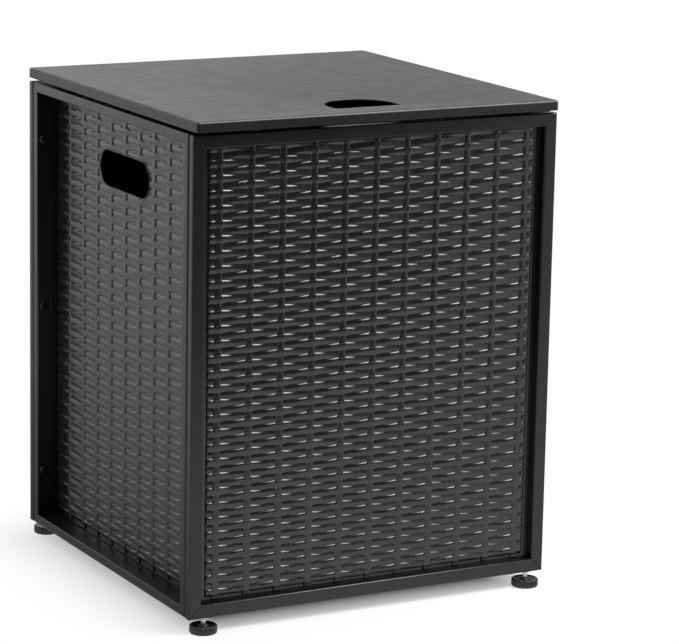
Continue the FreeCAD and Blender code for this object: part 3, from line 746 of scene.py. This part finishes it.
slot_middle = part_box("left_side_top_rail")[1][2] - SLOT_DROP
side_sheet = pressed_mesh("pressed_side", "left_panel", half_field=168.5 * MM,
                          field_low=26.4 * MM, field_high=475.0 * MM, first_row_low=29.4 * MM,
                          flat_until=31.5 * MM, stake_shows=0.03 * MM)
slot_outline = round_ended_outline(SLOT_LENGTH, SLOT_HEIGHT, slot_middle)
whole_side = BVHTree.FromPolygons([v.co.copy() for v in side_sheet.vertices],
                                  [tuple(p.vertices) for p in side_sheet.polygons])
side_sheet = punched(side_sheet, round_ended_cutter(slot_outline, PUNCH_REACH))
side_sheet.name = "pressed_side_punched"
shade_smooth(side_sheet, WEAVE_SHARP)
side_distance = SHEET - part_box("left_panel")[1][0]
hang_panel("left_panel", side_sheet, -90, side_distance)
hang_panel("right_panel", side_sheet, 90, side_distance)
print("side panel after the punch:", len(side_sheet.polygons), "faces")

# %% [markdown]
# A punched edge would cut fingers, so it is rolled over: a soft bead runs round the slot and draws
# the thin light line there. The bead follows the relief, whose height is felt with rays.


# %% Rolled edge of the slots
BEAD_RADIUS = 0.8 * MM
BEAD_STEP = 4 * MM         # distance between points along the straight stretches
BEAD_SINK = 0.1 * MM       # how far the bead's middle lies outward and into the sheet's face
BEAD_SIDES = 8


def rolled_edge(outline, sheet_tree, radius):
    """A closed bead along the slot's outline on the face of the sheet."""
    corners = [Vector((x, 0.0, z)) for x, z in outline]
    path = []
    for here, there in zip(corners, corners[1:] + corners[:1]):
        parts = max(1, int((there - here).length / BEAD_STEP))
        path += [here.lerp(there, i / parts) for i in range(parts)]
    faces_at = [sheet_tree.ray_cast((p.x, -1.0, p.z), (0, 1, 0))[0].y for p in path]
    count = len(path)
    rings = []
    for i, point in enumerate(path):
        before, after = faces_at[i - 1], faces_at[(i + 1) % count]
        depth = (before + 2 * faces_at[i] + after) / 4 - BEAD_SINK
        along = (path[(i + 1) % count] - path[i - 1]).normalized()
        outward = along.cross(Vector((0.0, -1.0, 0.0)))
        middle = Vector((point.x, depth, point.z)) - outward * BEAD_SINK
        rings.append([middle + radius * (math.cos(a) * outward + math.sin(a) * Vector((0, 1, 0)))
                      for a in (math.tau * k / BEAD_SIDES for k in range(BEAD_SIDES))])
    return skin(rings, closed_loop=True)


bead_points, bead_faces = rolled_edge(slot_outline, whole_side, BEAD_RADIUS)
for side, spin in (("left", -90), ("right", 90)):
    placed = moved(bead_points, facing(spin, side_distance))
    bead = mesh_object(side + "_slot_edge", placed, bead_faces, panel_coat, 60.0)
    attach(bead, "cabinet")
print("slot edge points:", len(bead_points))

# %% [markdown]
# ## Lid
#
# The lid is a shallow tray folded from 1 mm sheet. A folded edge is never sharp: this one is rounded
# to 2.6 mm outside, and the bend draws the bright line along the front of the lid. The hand hole is
# punched, with a straight front edge and a half-round back.


# %% Lid
LID_SHEET = 1.0 * MM
LID_BEND = 2.6 * MM
LID_INNER_BEND = 0.6 * MM
LID_INNER_CORNER = 0.5 * MM
LEAST_CORNER = 0.1 * MM
BURR = 0.15 * MM           # the bottom edge of the skirt is eased by this
HOLE_HALF, HOLE_FRONT, HOLE_STRAIGHT = 36 * MM, -170 * MM, 14 * MM
HOLE_CORNER = 1.5 * MM


def hand_hole_outline(inset, steps=28):
    """The half-round hole, anticlockwise from its front left corner; inset makes it smaller."""
    r = HOLE_HALF - inset
    front = HOLE_FRONT + inset + HOLE_CORNER
    points = []
    for end, start in ((-1, math.pi), (1, 1.5 * math.pi)):
        for i in range(4):
            a = start + i * (math.pi / 2) / 3
            points.append((end * (r - HOLE_CORNER) + HOLE_CORNER * math.cos(a),
                           front + HOLE_CORNER * math.sin(a)))
    middle = HOLE_FRONT + HOLE_STRAIGHT
    for i in range(steps + 1):
        a = math.pi * i / steps
        points.append((r * math.cos(a), middle + r * math.sin(a)))
    return points


def lid_mesh():
    """The tray: top with its hole, folded skirt, and the same again on the inside."""
    low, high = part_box("lid_tray")
    top, bottom = high[2], low[2]
    shape = bmesh.new()

    def ring(outline, z):
        return [shape.verts.new((x, y, z)) for x, y in outline]

    def join(rings):
        """A skin from each ring of vertices to the next."""
        for a, b in zip(rings, rings[1:]):
            for i in range(len(a)):
                j = (i + 1) % len(a)
                shape.faces.new((a[i], a[j], b[j], b[i]))

    def round_tray(inset, radius, z):
        """The tray's outline, set in from its sides, with rounded corners."""
        return ring(rounded_rectangle(2 * (high[0] - inset), 2 * (high[1] - inset), radius, 5), z)

    outer = [round_tray(LID_SHEET, LID_INNER_CORNER, bottom + BURR),
             round_tray(LID_SHEET - BURR, 0.6 * MM, bottom),
             round_tray(BURR, LID_BEND, bottom), round_tray(0.0, LID_BEND, bottom + BURR),
             round_tray(0.0, LID_BEND, top - LID_BEND - SUPPORT)]
    for i in range(7):
        a = i * math.pi / 12
        inset = LID_BEND * (1 - math.cos(a))
        outer.append(round_tray(inset, max(LID_BEND - inset, LEAST_CORNER),
                                top - LID_BEND + LID_BEND * math.sin(a)))
    outer.append(round_tray(LID_BEND + 0.3 * MM, LEAST_CORNER, top))
    inner = [round_tray(LID_SHEET, LID_INNER_CORNER, top - LID_SHEET - LID_INNER_BEND),
             round_tray(LID_SHEET + LID_INNER_BEND, 0.3 * MM, top - LID_SHEET)]
    join([*inner[::-1], *outer])
    hole = [ring(hand_hole_outline(inset * MM), top - down * MM)
            for inset, down in ((-0.5, 0.0), (-0.15, 0.05), (0.0, 0.25), (0.0, 0.9), (-0.1, 1.0))]
    join(hole)
    for loops in ((outer[-1], hole[0]), (inner[1], hole[-1])):
        edges = [shape.edges.get((loop[i - 1], loop[i]))
                 for loop in loops for i in range(len(loop))]
        bmesh.ops.triangle_fill(shape, use_beauty=True, use_dissolve=False, edges=edges)
    bmesh.ops.recalc_face_normals(shape, faces=shape.faces)
    mesh = bpy.data.meshes.new("lid")
    shape.to_mesh(mesh)
    shape.free()
    shade_smooth(mesh, 35.0)
    mesh.materials.append(lid_coat)
    return mesh


lid = put_in_scene("folded_lid", lid_mesh())
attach(lid, "lid")
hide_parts("lid_tray")
print("lid faces:", len(lid.data.polygons))

# %% [markdown]
# Under the lid, four small angles keep it from sliding and four rubber bumpers hold it clear of
# the frame. The angles are the CAD pieces with the lid's paint. The bumpers are turned shapes with
# a slight taper and rounded ends.

# %% Under the lid
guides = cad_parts["lid_corner_guides"]
guides.data.materials.clear()
guides.data.materials.append(lid_coat)

BUMPER_X, BUMPER_Y = 189.0 * MM, 120.0 * MM
bumper_low, bumper_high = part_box("lid_bumpers")
tall = bumper_high[2] - bumper_low[2]
bumper_outline = [(0.0, 0.0), (4.4 * MM, 0.0), (4.9 * MM, 0.15 * MM), (5.1 * MM, 0.6 * MM),
                  (6.0 * MM, tall - 0.2 * MM), (6.0 * MM, tall), (0.0, tall)]
points, faces = skin(turned_rings(bumper_outline))
bumpers = []
for across in (-BUMPER_X, BUMPER_X):
    for along in (-BUMPER_Y, BUMPER_Y):
        place = Matrix.Translation((across, along, bumper_low[2]))
        bumpers.append((moved(points, place), faces))
bumper_set = mesh_object("rubber_bumpers", *merged(bumpers), rubber)
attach(bumper_set, "lid")
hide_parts("lid_bumpers")
print("bumpers:", len(bumpers))

# %% [markdown]
# ## Screws and inserts
#
# Three screws at each upright edge bolt a side frame to the front or rear frame. Their heads sit
# in the recess on the inner flank of the side stiles: button heads with a hexagon socket. The
# socket's rings have as many points as the round crown, pulled in to a hexagon, so the skin joins
# them without a cut. The inserts that the screws go into are turned shapes.


# %% Frame screws
SCREW_SIDES = 48
HEAD_RADIUS, HEAD_HIGH, BRIM = 4.75 * MM, 2.75 * MM, 0.7 * MM  # the brim is the upright part
SOCKET_RADIUS, SOCKET_DEEP = 1.73 * MM, 1.6 * MM
SHANK_RADIUS, SHANK_LONG = 2.48 * MM, 16 * MM
CROWN_START = 2.0 * MM     # radius at which the crown starts to round down


def screw_mesh():
    """A button head M5 screw: head above the XY plane, shank below."""
    profile = [(0.0, -SHANK_LONG), (1.9 * MM, -SHANK_LONG),
               (SHANK_RADIUS, 0.6 * MM - SHANK_LONG), (SHANK_RADIUS, 0.0), (4.5 * MM, 0.0),
               (HEAD_RADIUS, 0.25 * MM), (HEAD_RADIUS, BRIM)]
    for i in range(1, 7):
        a = math.radians(15 * i)
        profile.append((CROWN_START + (HEAD_RADIUS - CROWN_START) * math.cos(a),
                        BRIM + (HEAD_HIGH - BRIM) * math.sin(a)))

    def hexagon(radius, height):
        """A ring with as many points as the crown's, pulled in to a hexagon."""
        ring = []
        for i in range(SCREW_SIDES):
            a = math.tau * i / SCREW_SIDES
            local = (a + math.pi / 6) % (math.pi / 3) - math.pi / 6
            reach = radius * math.cos(math.pi / 6) / math.cos(local)
            ring.append((reach * math.cos(a), reach * math.sin(a), height))
        return ring

    points, faces = skin([*turned_rings(profile, SCREW_SIDES),
                          hexagon(SOCKET_RADIUS + 0.1 * MM, HEAD_HIGH),
                          hexagon(SOCKET_RADIUS, HEAD_HIGH - 0.1 * MM),
                          hexagon(SOCKET_RADIUS, HEAD_HIGH - SOCKET_DEEP)])
    faces.append(tuple(range(len(points) - SCREW_SIDES, len(points))))
    return points, faces


screw_low, screw_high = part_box("frame_screws")
SCREW_LEVELS = (screw_low[2] + HEAD_RADIUS, (screw_low[2] + screw_high[2]) / 2,
                screw_high[2] - HEAD_RADIUS)
SCREW_X = 193.0 * MM
HEAD_Y, INSERT_Y = 174.3 * MM, 186.3 * MM  # where heads and flanges bear


def edge_places(face_y):
    """Three places up each upright edge, turned so that a shank points out of the box."""
    places = []
    for across in (-SCREW_X, SCREW_X):
        for toward in (1, -1):
            turn = Matrix.Rotation(math.radians(-90 * toward), 4, "X")
            places += [Matrix.Translation((across, -toward * face_y, level)) @ turn
                       for level in SCREW_LEVELS]
    return places


rng = np.random.default_rng(7)
points, faces = screw_mesh()
screws = []
for place in edge_places(HEAD_Y):
    spin = Matrix.Rotation(rng.uniform(0, math.tau), 4, "Z")
    screws.append((moved(points, place @ spin), faces))
screw_set = mesh_object("button_head_screws", *merged(screws), black_oxide)
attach(screw_set, "cabinet")
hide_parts("frame_screws")
print("screws:", len(screws))


# %% Inserts in the stiles
def insert_mesh(radius, length, flange_radius, flange, bore):
    """A threaded insert: flange above the XY plane, barrel below, open bore."""
    outline = [(bore, -length), (radius - 0.2 * MM, -length), (radius, -length + 0.2 * MM),
               (radius, 0.0), (flange_radius, 0.0), (flange_radius, flange - 0.2 * MM),
               (flange_radius - 0.2 * MM, flange), (bore, flange)]
    return skin(turned_rings(outline), closed_loop=True)


points, faces = insert_mesh(radius=3.35 * MM, length=5.8 * MM, flange_radius=4.85 * MM,
                            flange=1.98 * MM, bore=2.55 * MM)
inserts = [(moved(points, place), faces) for place in edge_places(INSERT_Y)]
insert_set = mesh_object("stile_inserts", *merged(inserts), zinc)
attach(insert_set, "cabinet")
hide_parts("screw_inserts")
print("inserts:", len(inserts))

# %% [markdown]
# ## Levelling feet
#
# Each foot is a zinc-plated M5 stud moulded into a black plastic pad. The pad has ribs round its
# grip so that fingers can turn it, a bevelled shoulder and a small hub. The thread is a ridge that
# climbs 0.8 mm per turn, built as a true helix.


# %% Studs
THREAD_PITCH = 0.8 * MM
THREAD_OUTER, THREAD_INNER = 2.49 * MM, 2.05 * MM
STUD_LOW, STUD_HIGH = 2.5 * MM, 21.3 * MM
SHANK_HIGH = 13.0 * MM     # the shank is plain up to here


def stud_mesh(bottom, top, sides=32, per_turn=8):
    """A stud with a plain shank, then rings of points whose radius follows the thread."""
    rows = int((top - bottom) / THREAD_PITCH * per_turn)
    rings = [[(0.0, 0.0, bottom)] * sides]
    for row in range(rows + 1):
        z = bottom + (top - bottom) * row / rows
        cut = min(1.0, max(0.0, (z - SHANK_HIGH) / THREAD_PITCH))
        end = min(1.0, (top - z) / (0.6 * MM))
        ring = []
        for i in range(sides):
            a = math.tau * i / sides
            tooth = 1 - abs(2 * ((z / THREAD_PITCH - i / sides) % 1.0) - 1)
            ridge = min(1.0, max(0.0, 1.35 * tooth - 0.1)) * end
            radius = THREAD_OUTER - (THREAD_OUTER - THREAD_INNER) * cut * (1.0 - ridge)
            ring.append((radius * math.cos(a), radius * math.sin(a), z))
        rings.append(ring)
    rings.append([(0.0, 0.0, top)] * sides)
    return skin(rings)


print("turns of thread on a stud:", round((STUD_HIGH - SHANK_HIGH) / THREAD_PITCH, 1))


# %% Pads
RIBS = 18
RIB_DEEP = 1.1 * MM        # depth of the valleys between the ribs of the grip
# radius and height in mm, and the share of the rib's depth at that place
PAD_PROFILE = [(0.0, 0.0, 0.0), (12.6, 0.0, 0.0), (13.1, 0.25, 0.6), (13.5, 0.8, 1.0),
               (13.75, 1.4, 1.0), (13.75, 6.7, 1.0), (13.5, 7.4, 1.0), (12.9, 7.9, 0.7),
               (12.2, 8.0, 0.15), (11.4, 7.9, 0.0), (10.6, 7.6, 0.0), (6.2, 7.5, 0.0),
               (5.2, 7.6, 0.0), (4.95, 7.9, 0.0), (4.9, 8.3, 0.0), (4.6, 8.5, 0.0),
               (2.7, 8.5, 0.0), (2.6, 8.3, 0.0), (2.6, 2.5, 0.0), (0.0, 2.5, 0.0)]


def pad_mesh(per_rib=10):
    """The plastic foot: ribbed grip, bevelled shoulder, hub, and a seat for the stud."""
    rings = []
    for radius, height, ribbed in PAD_PROFILE:
        ring = []
        for i in range(RIBS * per_rib):
            a = math.tau * i / (RIBS * per_rib)
            valley = (0.5 - 0.5 * math.cos(RIBS * a)) ** 1.5
            r = radius * MM - RIB_DEEP * ribbed * valley
            ring.append((r * math.cos(a), r * math.sin(a), height * MM))
        rings.append(ring)
    return skin(rings)


print("pad height:", max(height for _, height, _ in PAD_PROFILE), "mm")

# %% [markdown]
# A foot is turned by its pad, and its stud then climbs in a threaded bush in the bottom rail. The
# pad, the stud and the bush ride on three bodies, so that each can move as it does on the table.

# %% Set the feet
FOOT_X, FOOT_Y = 182.3 * MM, 190.8 * MM
RAIL_FACE = 15 * MM        # underside of the bottom rail, where a bush's flange bears
FEET = {"front_left": (-1, -1), "front_right": (1, -1), "rear_left": (-1, 1),
        "rear_right": (1, 1)}
pad_points, pad_faces = pad_mesh()
stud_points, stud_faces = stud_mesh(STUD_LOW, STUD_HIGH)
bush_points, bush_faces = insert_mesh(radius=3.3 * MM, length=6.0 * MM, flange_radius=4.25 * MM,
                                      flange=0.9 * MM, bore=2.56 * MM)
bushes = []
for corner, (across, along) in FEET.items():
    place = Matrix.Translation((across * FOOT_X, along * FOOT_Y, 0.0))
    pad = mesh_object("pad_" + corner, moved(pad_points, place), pad_faces, nylon, 50.0)
    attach(pad, "pad_" + corner)
    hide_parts("foot_pad_" + corner)
    stud = mesh_object("stud_" + corner, moved(stud_points, place), stud_faces, zinc, 60.0)
    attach(stud, "stud_" + corner)
    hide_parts("foot_stud_" + corner)
    up = Matrix.Translation((across * FOOT_X, along * FOOT_Y, RAIL_FACE))
    bushes.append((moved(bush_points, up @ Matrix.Rotation(math.pi, 4, "X")), bush_faces))
bush_set = mesh_object("rail_bushes", *merged(bushes), zinc)
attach(bush_set, "cabinet")
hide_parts("foot_bushes")
print("feet:", len(FEET))

# %% [markdown]
# ## Studio
#
# The photograph is a catalogue shot: white all round, one soft light from above and a little to the
# right, and soft grey shadows on the floor. The floor is plain white. Close to the table it shows
# the light and shade that fall on it. Further out the camera, mirrors and glass see an even white
# instead. The world does the same: pure white where it is seen, and a weaker light where it only
# lights things.


# %% Floor
FOOTPRINT = 0.15           # the fade is measured from a square of this half width
FADE_REACH = 0.18
FADE_POWER = 2.8
WHITE_LEAST = 0.06         # share of even white right beside the table


def seen_rays(tree):
    """1 for a ray of the camera, a mirror or glass, and 0 for light on a dull surface."""
    path = add_node(tree, "ShaderNodeLightPath")
    seen = path.outputs["Is Camera Ray"]
    for kind in ("Is Glossy Ray", "Is Transmission Ray"):
        seen = add_node(tree, "ShaderNodeMath", {0: seen, 1: path.outputs[kind]},
                        operation="MAXIMUM").outputs["Value"]
    return seen


bpy.ops.mesh.primitive_plane_add(size=16.0, location=(0, 0, 0))
floor = bpy.context.object
floor.name = "studio_floor"
white = bpy.data.materials.new("white studio floor")
tree = cleared_tree(white)
outside = add_node(tree, "ShaderNodeTexCoord").outputs["Object"]
for step, other in (("ABSOLUTE", (0, 0, 0)), ("SUBTRACT", (FOOTPRINT, FOOTPRINT, 0)),
                    ("MAXIMUM", (0, 0, 0))):
    outside = add_node(tree, "ShaderNodeVectorMath", {0: outside, 1: other},
                       operation=step).outputs["Vector"]
reach = add_node(tree, "ShaderNodeVectorMath", {0: outside}, operation="LENGTH").outputs["Value"]
near = add_node(tree, "ShaderNodeMapRange", {"Value": reach, "From Max": FADE_REACH,
                                             "To Min": 1.0, "To Max": 0.0}).outputs["Result"]
near = add_node(tree, "ShaderNodeMath", {0: near, 1: FADE_POWER},
                operation="POWER").outputs["Value"]
far = add_node(tree, "ShaderNodeMapRange",
               {"Value": near, "To Min": 1.0, "To Max": WHITE_LEAST}).outputs["Result"]
fade = add_node(tree, "ShaderNodeMath", {0: far, 1: seen_rays(tree)},
                operation="MULTIPLY").outputs["Value"]
paper = add_node(tree, "ShaderNodeBsdfDiffuse", {"Color": to_linear("#f3f4f7")})
glow = add_node(tree, "ShaderNodeEmission", {"Color": to_linear("#ffffff"), "Strength": 1.0})
whole = add_node(tree, "ShaderNodeMixShader",
                 {"Fac": fade, 1: paper.outputs["BSDF"], 2: glow.outputs["Emission"]})
add_node(tree, "ShaderNodeOutputMaterial", {"Surface": whole.outputs["Shader"]})
floor.data.materials.append(white)
print("floor:", floor.name, tuple(floor.dimensions))

# %% World
ROOM_LIGHT = 0.3
world = bpy.data.worlds.new("studio")
bpy.context.scene.world = world
tree = cleared_tree(world)
strength = add_node(tree, "ShaderNodeMapRange",
                    {"Value": seen_rays(tree), "To Min": ROOM_LIGHT, "To Max": 1.0})
air = add_node(tree, "ShaderNodeBackground",
               {"Color": to_linear("#ffffff"), "Strength": strength.outputs["Result"]})
add_node(tree, "ShaderNodeOutputWorld", {"Surface": air.outputs["Background"]})
print("world:", world.name, "with", len(tree.nodes), "nodes")

# %% [markdown]
# Two square soft boxes light the table. The key box hangs at the front right and well above, and
# gives the shadow on the left. A weak one overhead lightens the lid.


# %% Lamps
def soft_box(name, place, aim, width, watts):
    """A square lamp that faces a point."""
    lamp = bpy.data.lights.new(name, "AREA")
    lamp.shape = "SQUARE"
    lamp.size = width
    lamp.energy = watts
    thing = put_in_scene(name, lamp)
    thing.location = place
    thing.rotation_euler = (Vector(aim) - Vector(place)).to_track_quat("-Z", "Y").to_euler()
    return thing


LAMP_AIM = Vector((0.0, 0.0, 0.3))
KEY_DIRECTION = Vector((0.453, -0.40, 0.80)).normalized()
KEY_AWAY = 2.4
lamps = [soft_box("key box", LAMP_AIM + KEY_AWAY * KEY_DIRECTION, LAMP_AIM, width=1.3, watts=70.0),
         soft_box("overhead box", (-0.3, 0.4, 2.4), LAMP_AIM, width=1.6, watts=8.0)]
print("lamps:", [lamp.name for lamp in lamps])

# %% [markdown]
# A white room turns black paint grey, because every face mirrors it. Photographers stand cards just
# outside the picture. These cards are seen in reflections alone, so they paint the tones of those
# reflections, and each face takes the tone of the card that it mirrors. A dark one in front, a flag,
# paints dark reflections on the front's lower strands and frame. A glowing one behind paints the
# lid's reflected tone, lighter towards the near left. A glowing one on the floor at the left,
# dimmest beside the table, paints the shaded floor mirrored in the foot of the left side. They act
# on
# reflections alone: they hide nothing from the camera and throw no shadow.


# %% Cards that paint reflections
def glowing_reflection_card(name, near_x, near_light, far_x, far_light):
    """A dark card whose glow, changing along X, paints a reflection; it is no lamp."""
    material, shader, tree = new_material(name)
    shader.inputs["Base Color"].default_value = to_linear("#101010")
    shader.inputs["Roughness"].default_value = 1.0
    place = add_node(tree, "ShaderNodeNewGeometry").outputs["Position"]
    across = add_node(tree, "ShaderNodeSeparateXYZ", {0: place}).outputs["X"]
    glow = add_node(tree, "ShaderNodeMapRange",
                    {"Value": across, "From Min": near_x, "From Max": far_x,
                     "To Min": near_light, "To Max": far_light}).outputs["Result"]
    shader.inputs["Emission Color"].default_value = to_linear("#ffffff")
    tree.links.new(glow, shader.inputs["Emission Strength"])
    return material


def reflected_card(name, points, material):
    """A four-cornered card that only reflections see."""
    card = mesh_object(name, points, [(0, 1, 2, 3)], material)
    card.visible_camera = False
    card.visible_diffuse = False
    card.visible_shadow = False
    return card


def standing(left, right, y, top):
    """The corners of a card that stands on the floor."""
    return [(left, y, 0), (right, y, 0), (right, y, top), (left, y, top)]


def lying(left, right, near, far, z=0.004):
    """The corners of a card that lies just above the floor."""
    return [(left, near, z), (right, near, z), (right, far, z), (left, far, z)]


# a dark card seen only in reflections: it paints dark reflections on the front's lower strands and
# frame
dark_reflection_flag, shader, _ = new_material("dark flag for painted reflections")
shader.inputs["Base Color"].default_value = to_linear("#303030")
shader.inputs["Roughness"].default_value = 1.0
# glows only for reflections: it paints the lid's reflected tone, lighter towards the near left
painted_lid_reflection = glowing_reflection_card("glowing card painting the lid reflection", near_x=0.5, near_light=1.0, far_x=1.15,
                        far_light=0.66)
# glows only for reflections: dimmest beside the table, it paints the shaded floor mirrored at the
# foot of the left side
painted_floor_shade = glowing_reflection_card("glowing card painting floor shade at the left", near_x=-0.205, near_light=0.25, far_x=-0.6,
                         far_light=0.64)
cards = [
    reflected_card("front flag for painted dark reflections", standing(-1.95, 0.75, -1.15, 1.5), dark_reflection_flag),
    reflected_card("glowing card painting the lid reflection", standing(0.3, 2.7, 1.5, 2.5), painted_lid_reflection),
    reflected_card("glowing card painting floor shade at the left", lying(-1.7, -0.205, -0.2, 2.4), painted_floor_shade),
]
print("cards:", [card.name for card in cards])

# %% [markdown]
# ## Camera
#
# The camera stands to the front left and a little above, far back with a long lens. Its place, aim,
# tilt and lens were fitted to the corners of the box in the photograph, which is 679 by 644 pixels.

# %% Camera
CAMERA_PLACE = Vector((-1.4684, -2.8089, 0.9505))
CAMERA_AIM = Vector((0.0503, -0.0275, 0.2567))
CAMERA_TILT = 1.127        # degrees
LENS = 167.21              # mm, on a sensor 36 mm wide
LENS_SHIFT = -0.0042
camera_data = bpy.data.cameras.new("catalogue camera")
camera_data.sensor_fit = "HORIZONTAL"
camera_data.sensor_width = 36.0
camera_data.lens = LENS
camera_data.shift_y = LENS_SHIFT
camera = put_in_scene("catalogue camera", camera_data)
look = (CAMERA_AIM - CAMERA_PLACE).to_track_quat("-Z", "Y")
roll = Matrix.Rotation(math.radians(CAMERA_TILT), 4, "Z")
camera.matrix_world = Matrix.Translation(CAMERA_PLACE) @ look.to_matrix().to_4x4() @ roll
bpy.context.scene.camera = camera
bpy.context.scene.view_settings.view_transform = "Standard"
print("camera:", tuple(round(v, 3) for v in camera.location))
